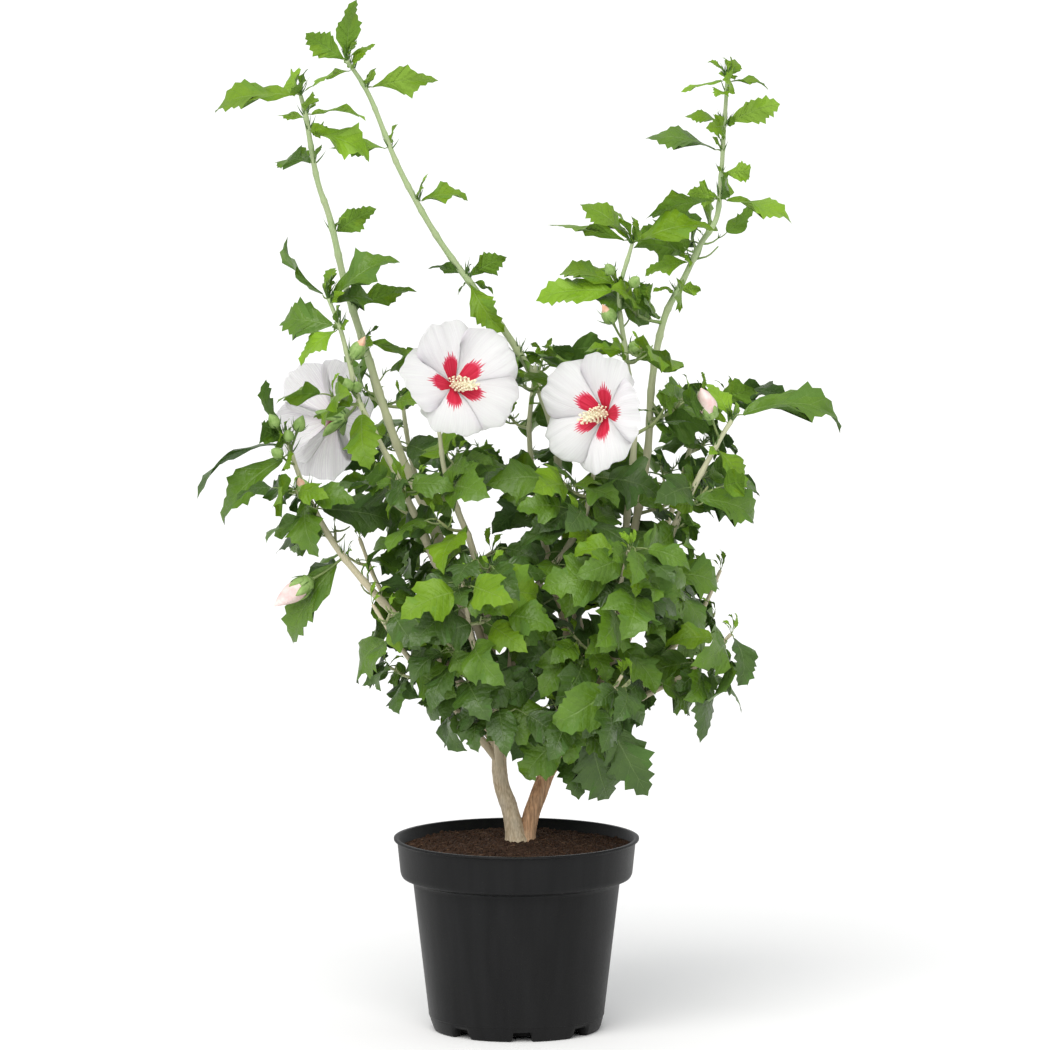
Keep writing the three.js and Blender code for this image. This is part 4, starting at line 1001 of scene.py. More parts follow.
def add_leaf(at, heading, rise, reach, seed, spray, crowd, kind="grown", droop=None):
    """A leaf stays if it keeps clear of limbs, flowers and the leaves before it. Those that aren't shown
    one by one also keep above the skirt, and apart from the tufts out of the openings."""
    droop = droop or mix(26, 62, 1 - height_share(at)) + 18 * draw(seed + 0.9)
    leaf = dict(at=at, heading=heading, rise=rise, reach=reach, seed=seed, spray=spray, kind=kind,
                roll=36 * (draw(seed + 0.7) - 0.5), droop=droop)
    if kind == "show":
        leaf["roll"] = mix(20, 48, draw(seed + 0.7)) * (1 if draw(seed + 0.25) < 0.7 else -1)
        leaf["roll"] *= -1 if math.cos(math.radians(heading)) > 0 else 1
    leaf_frame(leaf)
    samples = on_blade(leaf, np.array([0.4, 0.7, 1, 0.58, 0.58]), np.array([0, 0, 0, 0.33, -0.33]))
    middle = on_blade(leaf, np.array([0.5]), np.array([0.0]))
    if leaf_middles and np.linalg.norm(np.array(leaf_middles) - middle, axis=1).min() < crowd:
        return
    if kind != "show" and not above_skirt(samples[2]):
        return
    if kind not in ("show", "bud") and in_opening(samples):
        return
    behind = PETAL if kind == "small" else 0.0
    if clear_of_bark(samples, LIMB_CLEAR) and all(clear_of_blooms(p, behind) for p in samples):
        leaf_middles.append(middle[0])
        leaves.append(leaf)


def rise_at(at, seed):
    """Leaves hang low in the crown and stand up at its top, each a little otherwise."""
    return mix(-30, 22, height_share(at)) + 26 * (draw(seed) - 0.5)


for k, shoot in enumerate(SHOOTS):
    for i, (height, heading, rise, reach, *droop) in enumerate(shoot["show"]):
        at = line_through(shoot["route"], share_at(shoot["route"], height))[0]
        add_leaf(at, heading, rise, reach, 900 + 20 * k + i, 100 * k + i, SHOWN_CROWD, "show", *droop)
for k, shoot in enumerate(SHOOTS):
    for twig in shoot["twigs"]:
        seed = twig["seed"]
        for j, (share, aside) in enumerate(TWIG_LEAVES):
            at = line_through(twig["route"], share)[0]
            reach = shoot["reach"] * mix(0.75, 1.05, draw(seed + 0.11 * j))
            rise = rise_at(at, seed + 7 * j)
            add_leaf(at, twig["heading"] + aside, rise, reach, seed + 0.17 * j, seed, CROWD)
    for i in range(shoot["nodes"]):
        seed = 50 * k + 25 + i
        share = mix(shoot["leafy"], shoot["upto"], (i + 0.5) / shoot["nodes"])
        at = line_through(shoot["route"], share)[0]
        heading = outward(at, shoot["turn"] + TURN * i + 40)
        reach = shoot["reach"] * mix(0.85, 1.1, draw(seed + 0.2))
        add_leaf(at, heading, rise_at(at, seed), reach, seed, seed, CROWD)
main_leaves = list(leaves)

# Finer growth: leaves on the fine twigs, then one or two smaller leaves beside each main leaf.
for shoot in SHOOTS:
    for twig in shoot["fine_twigs"]:
        for j, (share, aside) in enumerate(FINE_TWIG_LEAVES):
            seed = twig["seed"] + 11 * (j + 1)
            at = line_through(twig["route"], share)[0]
            reach = shoot["reach"] * mix(0.5, 0.8, draw(seed + 0.2))
            rise = rise_at(at, seed) + 8
            add_leaf(at, twig["heading"] + aside, rise, reach, seed, twig["seed"], FINE_CROWD)
for leaf in main_leaves:
    for j, aside in enumerate(SMALL_LEAVES):
        seed = leaf["seed"] + 31 * (j + 1)
        free = leaf["kind"] == "show"
        if not free and draw(seed + 0.9) > SMALL_SHARE:
            continue
        sizes, rises = ((0.3, 0.5), (10, 50)) if free else ((0.45, 0.75), (-20, 30))
        reach = leaf["reach"] * mix(*sizes, draw(seed + 0.1))
        rise = leaf["rise"] + mix(*rises, draw(seed + 0.6))
        heading = leaf["heading"] + aside + 24 * (draw(seed) - 0.5)
        add_leaf(leaf["at"], heading, rise, reach, seed, leaf["spray"],
                 SMALL_CROWD if free else FINE_CROWD, "small")
# A tuft of small new leaves ends every shoot and twig.
for k, shoot in enumerate(SHOOTS):
    ends = [(shoot["route"][-1], 4)] + [(twig["route"][-1], 2) for twig in shoot["twigs"]]
    for n, (tip, count) in enumerate(ends):
        for j in range(count):
            seed = 3000 + 60 * k + 7 * n + j
            rise, reach = mix(40, 78, draw(seed)), mix(13, 27, draw(seed + 0.3))
            heading = TURN * j + 40 * n
            add_leaf(np.array(tip, float), heading, rise, reach, seed, 100 * k, BUD_CROWD, "bud")


def packed(key):
    """One entry of every leaf, as an array."""
    return np.array([leaf[key] for leaf in leaves], float)


def side_outline(lobing, wedged):
    """Outline points of one side for leaves of different lobing, between the plain and the lobed, and
    from that towards the wedge."""
    plain, lobed, wedge = np.array(PLAIN), np.array(LOBED), np.array(WEDGE)
    broad = plain + (lobed - plain) * lobing[:, None, None]
    return broad + (wedge - broad) * wedged[:, None, None]


def blade_points(choice, along, across, lift):
    """Points of many blades at once, for shares along and across and a lift off the plain blade. The
    blade bends away from its face along an arc and along a tighter one at its tip, its edge waves, it
    sags to both sides from its midrib, and it is twisted about its length."""
    size = packed("length")[choice][:, None]
    seeds = np.array([draw(leaf["seed"] + 5.3) for leaf in leaves])[choice][:, None]
    bend = packed("bend")[choice][:, None]
    twist = 0.7 * (seeds - 0.5) * along
    wave = 0.085 * np.sin(2 * np.pi * (along * (1.0 + seeds) + 7 * seeds) + 1.2 * np.sign(across))
    wave = wave * np.abs(across) / 0.3
    ruffle = 0.026 * np.sin(2 * np.pi * (along * 3.4 + 13 * seeds) + np.sign(across))
    ruffle = ruffle * (np.abs(across) / 0.3) ** 2
    fold = mix(0.02, 0.42, seeds) * np.abs(across) - 0.75 * across ** 2
    up = fold + wave + ruffle + lift + across * np.sin(twist)
    curl = bend + 2.4 * (seeds - 0.15)
    turned = bend * np.clip(along, None, CURLS_FROM)
    angle = turned + curl * np.clip(along - CURLS_FROM, 0, None)
    forward = np.sin(turned) / bend + (np.sin(angle) - np.sin(turned)) / curl + up * np.sin(angle)
    down = (1 - np.cos(turned)) / bend + (np.cos(turned) - np.cos(angle)) / curl - up * np.cos(angle)
    steps = dict(ahead=forward, face=-down, side=across * np.cos(twist))
    terms = [step[..., None] * packed(way)[choice][:, None] for way, step in steps.items()]
    return packed("foot")[choice][:, None] + size[..., None] * sum(terms)


ROWS = len(LOBED)
COLUMNS = np.array([-1, -0.5, 0, 0.5, 1])


def leaf_faces():
    """Faces of one blade. Its points are the foot, the rows of the upper side from the left edge to the
    right, the tip, and the midrib of the under side."""
    upper = 1 + np.arange(ROWS * 5).reshape(ROWS, 5)
    tip = 1 + ROWS * 5
    under = tip + 1 + np.arange(ROWS)
    quads = [np.stack([upper[:-1, c], upper[1:, c], upper[1:, c + 1], upper[:-1, c + 1]], -1)
             for c in range(4)]
    threes = [[(0, upper[0, c], upper[0, c + 1]), (tip, upper[-1, c + 1], upper[-1, c])] for c in range(4)]
    below = [np.stack([upper[:-1, 0], under[:-1], under[1:], upper[1:, 0]], -1),
             np.stack([upper[:-1, 4], upper[1:, 4], under[1:], under[:-1]], -1)]
    ends = [(0, under[0], upper[0, 0]), (0, upper[0, 4], under[0]),
            (tip, upper[-1, 0], under[-1]), (tip, under[-1], upper[-1, 4])]
    return np.concatenate(quads), np.concatenate(threes), np.concatenate(below), np.array(ends)


def leaf_mesh(choice):
    """All points of the chosen blades, with their UV: row number up, and place from edge to edge."""
    chances = [np.array([draw(leaves[i]["seed"] + shift) for i in choice]) for shift in (1.1, 2.3, 3.7)]
    young = np.array([leaves[i]["kind"] == "bud" for i in choice])
    lobing = np.clip(mix(0.05, 1.25, chances[0]), 0, 1) * np.where(young, 0.4, 1)
    long_reach = np.clip((packed("reach")[choice] - 84) / 30, 0, 1)
    width = mix(0.82, 1.12, chances[1]) * np.where(young, 0.62, 1) * (1 - 0.42 * long_reach)
    wedged = np.array([1.0 if leaves[i]["kind"] in ("show", "bud") else 0.25 for i in choice])
    wedged *= mix(0.55, 1.0, chances[0])
    left = side_outline(lobing, wedged) * np.stack([np.ones_like(width), -width], -1)[:, None]
    other = np.clip(lobing + 0.35 * (chances[2] - 0.5), 0, 1)
    right = side_outline(other, wedged) * np.stack([np.ones_like(width), width], -1)[:, None]
    rib = np.stack([np.array(VEIN_FEET), np.zeros(ROWS)], -1)[None]
    for edge, outwards in ((left, -1), (right, 1)):
        edge += TEETH[:, None] * np.array([0.3, outwards]) * mix(0.7, 1.3, chances[1])[:, None, None]
    columns = [left, (left + rib) / 2, rib + 0 * left, (right + rib) / 2, right]
    grid = np.stack(columns, 2).reshape(len(choice), -1, 2)
    one = np.ones((len(choice), 1, 1))
    flat = np.concatenate([one * [[0, 0]], grid, one * [[1, 0]], rib * one], 1)
    lift = np.zeros(flat.shape[1])
    lift[-ROWS:] = -MIDRIB_DEPTH * np.linspace(1.2, 0.5, ROWS)
    points = blade_points(choice, flat[..., 0], flat[..., 1], lift)
    row = np.repeat((np.arange(ROWS) + 1) / (ROWS + 1), 5)
    uv = np.concatenate([[(0.5, 0)], np.stack([np.tile(COLUMNS / 2 + 0.5, ROWS), row], -1), [(0.5, 1)],
                         np.stack([np.full(ROWS, 0.5), row[::5]], -1)])
    rim = np.zeros(flat.shape[1], bool)
    rim[[0, 1 + ROWS * 5]] = True
    rim[1:1 + ROWS * 5:5] = rim[5:1 + ROWS * 5:5] = True
    return points, uv, rim


def leaf_finish(name, colour, other, gloss, shine):
    """Satin green: two near greens in clouds, paler veins that run from the midrib to the teeth, and a
    surface quilted between the veins. UV runs along the rows of the blade."""
    material, tree, shader = finish_named(name, Roughness=gloss, Specular_IOR_Level=shine)
    spot = add(tree, "ShaderNodeSeparateXYZ", {0: place_on(tree, "UV")}).outputs
    place = place_on(tree)
    aside = reckoned(tree, "ABSOLUTE", reckoned(tree, "SUBTRACT", spot[0], 0.5))
    midrib = ranged(tree, aside, 0.008, 0.028, 1, 0)
    swing = reckoned(tree, "PINGPONG", reckoned(tree, "MULTIPLY", spot[1], ROWS + 1), 1.0)
    side_vein = ranged(tree, swing, 0.015, 0.10, 0.75, 0)
    side_vein = reckoned(tree, "MULTIPLY", side_vein, ranged(tree, aside, 0.15, 0.48, 1, 0))
    vein = reckoned(tree, "MAXIMUM", midrib, side_vein)
    tint = blend_of(tree, mottled(tree, place, 55), colour, other)
    pale = tuple(0.55 * c + 0.45 * d for c, d in zip(other[:3], VEIN_GREEN)) + (1,)
    coloured(tree, shader, blend_of(tree, reckoned(tree, "MULTIPLY", vein, 0.4), tint, pale))
    pillow = reckoned(tree, "MULTIPLY_ADD", swing, 0.5, mottled(tree, place, 260, 0, 0.9))
    bumped(tree, shader, reckoned(tree, "MULTIPLY_ADD", vein, -0.6, pillow), 0.0006, 0.8)
    return material


# For each shade the two colours, roughness and shine of the upper face, and the colour of the under
# face with the roughness and shine that all under faces have.
LEAF_GREENS = {
    # deep: old leaves low down, whose dark green is partly painted shade of the lower crown.
    "deep": ((0.036, 0.082, 0.009, 1), (0.060, 0.124, 0.014, 1), 0.36, 0.45),
    "mid": ((0.072, 0.155, 0.008, 1), (0.104, 0.205, 0.013, 1), 0.38, 0.4),
    "fresh": ((0.118, 0.228, 0.008, 1), (0.160, 0.285, 0.012, 1), 0.42, 0.28),
    # young: new leaves, whose bright yellow-green is partly painted glow of light through them.
    "young": ((0.165, 0.320, 0.013, 1), (0.220, 0.390, 0.024, 1), 0.45, 0.22),
}
# The deep and young under faces carry the same painted shade and painted glow as their upper faces.
UNDERSIDES = {"deep": (0.060, 0.125, 0.025, 1), "mid": (0.085, 0.170, 0.025, 1),
              "fresh": (0.125, 0.240, 0.022, 1), "young": (0.21, 0.36, 0.04, 1)}
UNDER_GLOSS = (0.6, 0.2)
VEIN_GREEN = (0.30, 0.42, 0.16)
SHADE_STEPS = [0.32, 0.60, 0.86]  # tones at which one shade passes into the next
LONG_LEAF = 95  # reach from which a leaf is old, so darker


def shade_of(leaf):
    """Old leaves low down are deepest, a green that is partly painted shade; each spray has its own
    lean, and new leaves are youngest, a yellow-green that is partly painted glow of light through them.
    """
    if leaf["kind"] == "bud":
        return "young"
    # Lower leaves tone darker, partly as painted shade, and higher ones lighter, partly as painted glow.
    up = min(max((leaf["at"][2] - 300) / 520, 0), 1)
    tone = 0.16 + 0.52 * up + 0.5 * (draw(leaf["spray"] + 0.77) - 0.4)
    tone += 0.26 * (draw(leaf["seed"] + 0.55) - 0.5)
    tone += {"small": 0.14, "show": 0.06}.get(leaf["kind"], 0) - (0.3 if leaf["reach"] > LONG_LEAF else 0)
    return SHADES[int(np.searchsorted(SHADE_STEPS, tone))]


shades = np.array([shade_of(leaf) for leaf in leaves])
upper_quads, upper_threes, under_quads, under_threes = leaf_faces()
for shade in SHADES:
    choice = np.flatnonzero(shades == shade)
    points, uv, rim = leaf_mesh(choice)
    count, each = points.shape[:2]
    parts = [repeated(f, count, each) for f in (upper_quads, under_quads, upper_threes, under_threes)]
    side_number = np.repeat([0, 1, 0, 1], [len(f) for f in parts])
    upper = leaf_finish("leaf_" + shade, *LEAF_GREENS[shade])
    under = UNDERSIDES[shade]
    paler = leaf_finish("leaf_under_" + shade, under, toned(under, 1.15), *UNDER_GLOSS)
    piece = new_piece("leaves_" + shade, points.reshape(-1, 3), parts, [upper, paler],
                      uv=np.tile(uv, (count, 1)), choice=side_number, sharp=np.tile(rim, count))
    put_on(piece, "foliage", *foliage_nodes)

# ---------------------------------------------------------------- leaf stalks
# Every leaf hangs on a thin green stalk that runs from its node to the foot of its blade. The stalk is
# soft, bowed a little towards the leaf's face, and thinner on a smaller leaf.
share = np.linspace(0, 1, 5)
at, foot, face = packed("at"), packed("foot"), packed("face")
reach = packed("reach")[:, None, None]
line = (at[:, None] + (foot - at)[:, None] * share[:, None] * 1.03
        + face[:, None] * (0.02 * reach * np.sin(np.pi * share)[:, None]))
thick = mix(*STALK_GIRTH, share)[None, :, None, None] * np.clip(reach[..., None] / 70, 0.35, 1)
angle = np.linspace(0, 2 * np.pi, 5, endpoint=False)
ring = face[:, None] * np.cos(angle)[:, None] + packed("side")[:, None] * np.sin(angle)[:, None]
tubes = line[:, :, None] + thick * ring[:, None]
ends = [(0, 1, 2), (0, 2, 3), (0, 3, 4)]
ends += [tuple(20 + i for i in reversed(f)) for f in ends]
stalk_finish = two_toned("leaf_stalk", (0.12, 0.20, 0.045, 1), (0.24, 0.31, 0.10, 1), 60, Roughness=0.5)
stalks = new_piece("leaf_stalks", tubes.reshape(-1, 3),
                   [repeated(grid_faces(5, 5, closed=True)[:, ::-1], len(leaves), 25),
                    repeated(np.array(ends), len(leaves), 25)],
                   [stalk_finish])
put_on(stalks, "foliage", *foliage_nodes)

# ---------------------------------------------------------------- flowers
# Three open flowers, each a shallow funnel of five broad overlapping petals, white with a breath of
# lilac and a crimson blotch at the foot that runs out in fine rays. A cream column crowded with
# anthers stands in the throat, and a pale green calyx with thin bracts holds them from behind.
PETAL_FOOT = 4.0
PETAL_LENGTH = 63.0
PETAL_OPENS = math.radians(46)  # from the flower's axis at the foot
PETAL_BENDS = math.radians(38)  # further by its end
PETAL_THICK = 0.5
PETAL_ROWS = 26
PETAL_COLUMNS = 41
SEPAL_OPENS = 0.55  # radians from the flower's axis
# The crimson eye of a petal: its length and its rays' length as shares of the petal's, its half width
# as a share of the petal's, and the grid rows that fill it.
EYE = dict(core=0.44, ray=0.17, half=0.45, rows=8)
COLUMN_LENGTH = 28.0
COLUMN_GIRTH = (3.0, 1.9)
ANTHERS = 84
ANTHER_TURN = 2.39996  # radians round the column from one anther to the next
SEPAL = (23.0, 5.4)
BRACTS = 7


def square_to(axis, lean=(0, 0, 1)):
    """Two directions square to an axis: one level and one that leans up."""
    across = unit(np.cross(lean, axis))
    return across, np.cross(axis, across)


def around(across, upward, angle):
    """The direction at that angle round an axis, from across towards upward."""
    return across * math.cos(angle) + upward * math.sin(angle)


def opened(axis, spoke, angle):
    """Where a petal or sepal points that opens by that angle from the axis towards the spoke, and its
    face, square to that."""
    return around(axis, spoke, angle), axis * math.sin(angle) - spoke * math.cos(angle)


def thin_sheet(foot, ahead, face, side, length, bend, outline, lift, thick, t, s):
    """A thin closed blade that bends away from its face along an arc. For t from foot to tip and s from
    edge to edge, two grids of one size, outline gives (along, across) and lift the height off the
    arc, as shares of the length. The back is the same grid, thick behind the front."""
    along, across = outline(t, s)
    layers = []
    for behind in (0, 1):
        up = lift(t, s) - behind * thick / length * (1.02 - s ** 4) * (1.0 - 0.6 * t ** 6)
        angle = bend * along
        forward = np.sin(angle) / bend + up * np.sin(angle)
        down = (1 - np.cos(angle)) / bend - up * np.cos(angle)
        steps = forward[..., None] * ahead - down[..., None] * face + across[..., None] * side
        layers.append((foot + length * steps).reshape(-1, 3))
    rows, columns = t.shape
    count = rows * columns
    front = grid_faces(rows, columns)[:, ::-1]
    back = grid_faces(rows, columns, start=count)
    index = np.arange(count).reshape(rows, columns)
    rim = np.concatenate([index[:-1, 0], index[-1, :-1], index[:0:-1, -1], index[0, :0:-1]])
    following = np.roll(rim, -1)
    edge = np.stack([rim, rim + count, following + count, following], -1)
    uv = np.stack([s.ravel() / 2 + 0.5, t.ravel()], -1)
    return np.concatenate(layers), (front, edge, back), uv


def even_grid(rows, columns):
    """Even steps from foot to tip, and from one edge to the other."""
    return np.meshgrid(np.linspace(0, 1, rows), np.linspace(-1, 1, columns), indexing="ij")


def petal_grid(seed):
    """The petal's grid, whose rows bend to follow the blotch: its first rows fill the crimson eye, one
    more row its rays, one to a column and each of its own length, and the others the white."""
    s = np.linspace(-1, 1, PETAL_COLUMNS)
    way = s / EYE["half"]
    column = np.arange(PETAL_COLUMNS)
    core = EYE["core"] * (1 - 0.30 * way ** 2) + 0.006 * np.array([draw(seed + 3.1 * k) for k in column])
    ray = np.array([mix(0.3, 1.0, draw(seed + 1.7 * k)) for k in column])
    ray = np.where(column % 2 == 0, ray, 0.05) * EYE["ray"] * (1 - 0.55 * np.abs(way))
    inside = np.abs(way) < 1.001
    core = np.where(inside, core, EYE["core"] * 0.7)
    tips = core + np.where(inside, ray, 0) + 0.012
    rows = [core * share for share in np.linspace(0, 1, EYE["rows"])]
    rows += [tips + (1 - tips) * share for share in np.linspace(0, 1, PETAL_ROWS - EYE["rows"])]
    t = np.array(rows)
    middle = np.abs((s[1:] + s[:-1]) / 2) < EYE["half"]
    row = np.arange(PETAL_ROWS - 1)[:, None]
    colour = np.where(row < EYE["rows"] - 1, 2, np.where(row == EYE["rows"] - 1, 3, 0)) * middle
    return t, np.broadcast_to(s, t.shape), colour.ravel()


def petal_outline(phase):
    """A broad fan: it widens as a sine from a narrow foot, its end is rounded off to the sides, and the
    edge there runs in and out in a long wave and a short one."""
    def outline(t, s):
        across = s * (0.07 + 0.43 * np.sin(np.pi / 2 * np.clip(t * 1.08, 0, 1)) ** 1.15)
        wave = 0.024 * np.sin(5.2 * s + phase) + 0.013 * np.sin(13 * s + 2 * phase)
        return t * (1 - 0.28 * np.abs(s) ** 2.8 * t + wave * t ** 3), across
    return outline


def petal_lift(wave, phase):
    """Broad folds and a finer frill that grow towards the end, and one side laid over the next petal."""
    def lift(t, s):
        return (0.045 * s * t + wave * 0.055 * t ** 2.2 * np.sin(3.4 * s + phase) - 0.05 * t * s * s
                + 0.018 * t ** 4 * np.sin(9 * s + 2.3 * phase) + 0.010 * t ** 5 * np.sin(21 * s + phase)
                + 0.006 * t * np.cos(17 * s))
    return lift


def sepal_outline(t, s):
    """A pointed strip: its width goes as part of a sine, widest a little before the middle."""
    return t, s * SEPAL[1] / SEPAL[0] * np.sin(np.pi * (0.16 + 0.82 * t)) ** 0.8


def turned_about(foot, axis, heights, radii, sides):
    """Rings round an axis at those heights, with one radius a ring or one a point."""
    across, upward = square_to(axis, (0.2, 0.1, 1))
    angle = np.linspace(0, 2 * np.pi, sides, endpoint=False)
    out = across * np.cos(angle)[:, None] + upward * np.sin(angle)[:, None]
    size = radii[:, None] if np.ndim(radii) == 1 else radii
    size = np.broadcast_to(size, (len(heights), sides))[..., None]
    return foot + heights[:, None, None] * axis + out * size


petals, throats, cups = Bundle(), Bundle(), Bundle()
petal_colours, petal_uv = [], []
bract_foot, bract_way, bract_bow, bract_long = [], [], [], []


def add_bracts(foot, axis, count, radius, opens, length, phase):
    """A ring of thin bracts under a calyx."""
    across, upward = square_to(axis, (0.2, 0.1, 1))
    for n in range(count):
        angle = 2 * np.pi * (n + 0.3 * draw(n + phase)) / count
        out = around(across, upward, angle)
        bract_foot.append(foot + out * radius)
        bract_way.append(around(axis, out, opens))
        bract_bow.append(0.35 * axis - 0.5 * out)
        bract_long.append(length * mix(0.8, 1.15, draw(n + 0.5 + phase)))


for n, bloom in enumerate(BLOOMS):
    centre = np.array(bloom["centre"], float)
    axis = unit(bloom["faces"])
    across, upward = square_to(axis)
    for k in range(5):
        angle = math.radians(72 * k + bloom["turn"])
        ahead, face = opened(axis, around(across, upward, angle), PETAL_OPENS)
        seed = 10 * n + k
        t, s, colour = petal_grid(seed)
        points, parts, uv = thin_sheet(
            centre + ahead * PETAL_FOOT * 0.2, ahead, face, np.cross(face, ahead),
            PETAL_LENGTH * mix(0.96, 1.04, draw(seed + 0.1)),
            PETAL_BENDS * mix(0.8, 1.2, draw(seed + 0.2)), petal_outline(6.3 * draw(seed + 0.8)),
            petal_lift(mix(0.6, 1.3, draw(seed + 0.4)), 6.3 * draw(seed + 0.6)), PETAL_THICK, t, s)
        petals.take(points, [np.concatenate(parts)])
        petal_colours += [colour, np.zeros(len(parts[1])), np.ones(len(parts[2]))]
        petal_uv += [uv + (seed, 0)] * 2
        spoke = around(across, upward, angle + 0.63)
        ahead, face = opened(axis, spoke, SEPAL_OPENS)
        points, parts, _ = thin_sheet(
            centre - axis * 9 + spoke * 4.2, ahead, face, np.cross(face, ahead), SEPAL[0], 0.55,
            sepal_outline, lambda t, s: 0.06 * (s * s - 1) * np.sin(np.pi * t), 0.5, *even_grid(9, 7))
        cups.take(points, [np.concatenate(parts)])
    share = np.linspace(0, 1, 9)
    radius = np.interp(share, [0, 0.12, 0.45, 0.8, 1], [1.6, 3.6, 6.0, 5.6, 3.6])
    cups.take_tube(turned_about(centre - axis * 15, axis, 15 * share, radius, 20))
    add_bracts(centre - axis * 13, axis, BRACTS, 3.0, 0.85, 18, n)
    lean = np.array(bloom["leans"], float)
    share = np.linspace(0, 1, 14)
    spine = centre + COLUMN_LENGTH * (share[:, None] * axis + lean * 0.35 * share[:, None] ** 2)
    swollen = 1 + 0.3 * np.exp(-(share / 0.12) ** 2)
    throats.take_tube(ringed(spine, mix(*COLUMN_GIRTH, share) * swollen, 12))
    for a in range(ANTHERS):
        spot = mix(0.22, 0.96, (a + 0.5) / ANTHERS)
        out = around(across, upward, ANTHER_TURN * a)
        at = centre + COLUMN_LENGTH * (spot * axis + lean * 0.35 * spot ** 2)
        at = at + out * mix(*COLUMN_GIRTH, spot)
        reach = mix(5.6, 3.0, spot) * mix(0.7, 1.2, draw(a + 7 * n))
        tip = at + out * reach + axis * (0.6 * reach - 0.5)
        anther = LUMP * np.array([1.3, 1.3, 1.0]) * mix(0.75, 1.1, draw(a + 0.5))
        throats.take(tip + anther, [LUMP_FACES])
        thread = np.linspace(0, 1, 3)[:, None] * (tip - at) + at
        throats.take_tube(ringed(thread, np.full(3, 0.28), 4))
    # Five short branches with a round knob each end the column.
    for a in range(5):
        out = around(across, upward, 2 * np.pi * a / 5 + n)
        run = np.linspace(0, 1, 5)[:, None]
        thread = spine[-1] - axis + run * (axis * 5.5 + out * 2.5) + out * 1.6 * (run ** 2)
        throats.take_tube(ringed(thread, np.array([0.7, 0.65, 0.6, 0.55, 0.5]), 6))
        throats.take(thread[-1] + LUMP * 1.6, [LUMP_FACES])

PETAL_GLOW = dict(Subsurface_Weight=0.8, Subsurface_Radius=(1.0, 0.92, 0.98), Subsurface_Scale=0.004)
white = two_toned("petal_white", (0.76, 0.70, 0.76, 1), (0.81, 0.775, 0.81, 1), 1.0, 0.00025, "UV",
                  strength=0.7, stretch=(46, 1.6, 1), Roughness=0.6, Specular_IOR_Level=0.25, **PETAL_GLOW)


def eye_red(name, deep, light):
    """Velvety red with darker veins that run out along the petal."""
    return two_toned(name, deep, light, 1.0, 0.0003, "UV", strength=0.7, stretch=(30, 1.6, 1),
                     Roughness=0.6, Specular_IOR_Level=0.2)


crimson = eye_red("eye_crimson", (0.44, 0.010, 0.034, 1), (0.62, 0.030, 0.072, 1))
rose = eye_red("eye_rose", (0.52, 0.04, 0.09, 1), (0.66, 0.11, 0.17, 1))

# The back of a petal is veined mauve, and red at its foot.
mauve, tree, shader = finish_named("petal_back", Roughness=0.6, Specular_IOR_Level=0.3, **PETAL_GLOW)
place = place_on(tree, "UV")
veins = mottled(tree, place, 1.0, stretch=(60, 1.2, 1), detail=4)
spot = add(tree, "ShaderNodeSeparateXYZ", {0: place}).outputs
near_foot = ranged(tree, spot[1], 0.22, 0.1)
pale = blend_of(tree, veins, (0.74, 0.65, 0.76, 1), (0.94, 0.91, 0.94, 1))
coloured(tree, shader, blend_of(tree, near_foot, pale, (0.62, 0.12, 0.16, 1)))
bumped(tree, shader, veins, 0.0003, 0.8)

cream = two_toned("anther_cream", (0.80, 0.74, 0.46, 1), (0.93, 0.91, 0.74, 1), 900, 0.0002,
                  Roughness=0.8, Specular_IOR_Level=0.2)
calyx_green = two_toned("calyx_green", (0.19, 0.33, 0.07, 1), (0.33, 0.47, 0.16, 1), 260, 0.0002,
                        detail=4, Roughness=0.5, Specular_IOR_Level=0.4)

petal_piece = petals.piece("petals", [white, mauve, crimson, rose],
                           uv=np.concatenate(petal_uv), choice=np.concatenate(petal_colours))
put_on(petal_piece, "foliage", *foliage_nodes)
put_on(throats.piece("flower_columns", [cream]), "foliage", *foliage_nodes)
put_on(cups.piece("calyxes", [calyx_green]), "foliage", *foliage_nodes)

# ---------------------------------------------------------------- buds
# Buds stand on short stalks near the tips. The youngest are green knobs shut in their calyx, older
# ones show an apricot point, and two are long pale pink spindles of furled petals.
# Each: its shoot, the height it starts from, its tip, its length and radius, and its age.
BUDS = [
    ("right_arching", 560, (172, -44, 612), 36, 8, "pink"),
    ("left_arching", 452, (-226, -50, 408), 44, 8.5, "pink"),
    ("left_bloom", 632, (-141, -40, 660), 26, 7, "tipped"),
    ("left_arching", 500, (-203, -62, 530), 24, 7, "tipped"),
    ("right_middle", 640, (121, -22, 652), 24, 6.5, "tipped"),
    ("right_middle", 650, (80, -22, 688), 24, 6.5, "tipped"),
    ("left_arching", 556, (-230, -45, 588), 17, 5.4, "green"),
    ("left_arching", 552, (-199, -40, 586), 18, 5.6, "green"),
    ("left_arching", 548, (-213, -52, 574), 15, 5.0, "green"),
    ("left_arching", 538, (-228, -54, 556), 16, 5.2, "green"),
    ("left_arching", 497, (-176, -54, 514), 15, 4.8, "green"),
    ("left_bloom", 600, (-162, -46, 622), 17, 5.4, "green"),
    ("left_bloom", 606, (-148, -48, 618), 15, 4.8, "green"),
    ("right_middle", 700, (84, -24, 726), 16, 5.0, "green"),
    ("right_middle", 690, (114, -26, 714), 16, 5.2, "green"),
]
HELD = {"pink": 0.52, "tipped": 0.86, "green": 1.0}  # share of the length that the calyx reaches
furled, tipped, green_buds, bloom_stalks = Bundle(), Bundle(), Bundle(), Bundle()


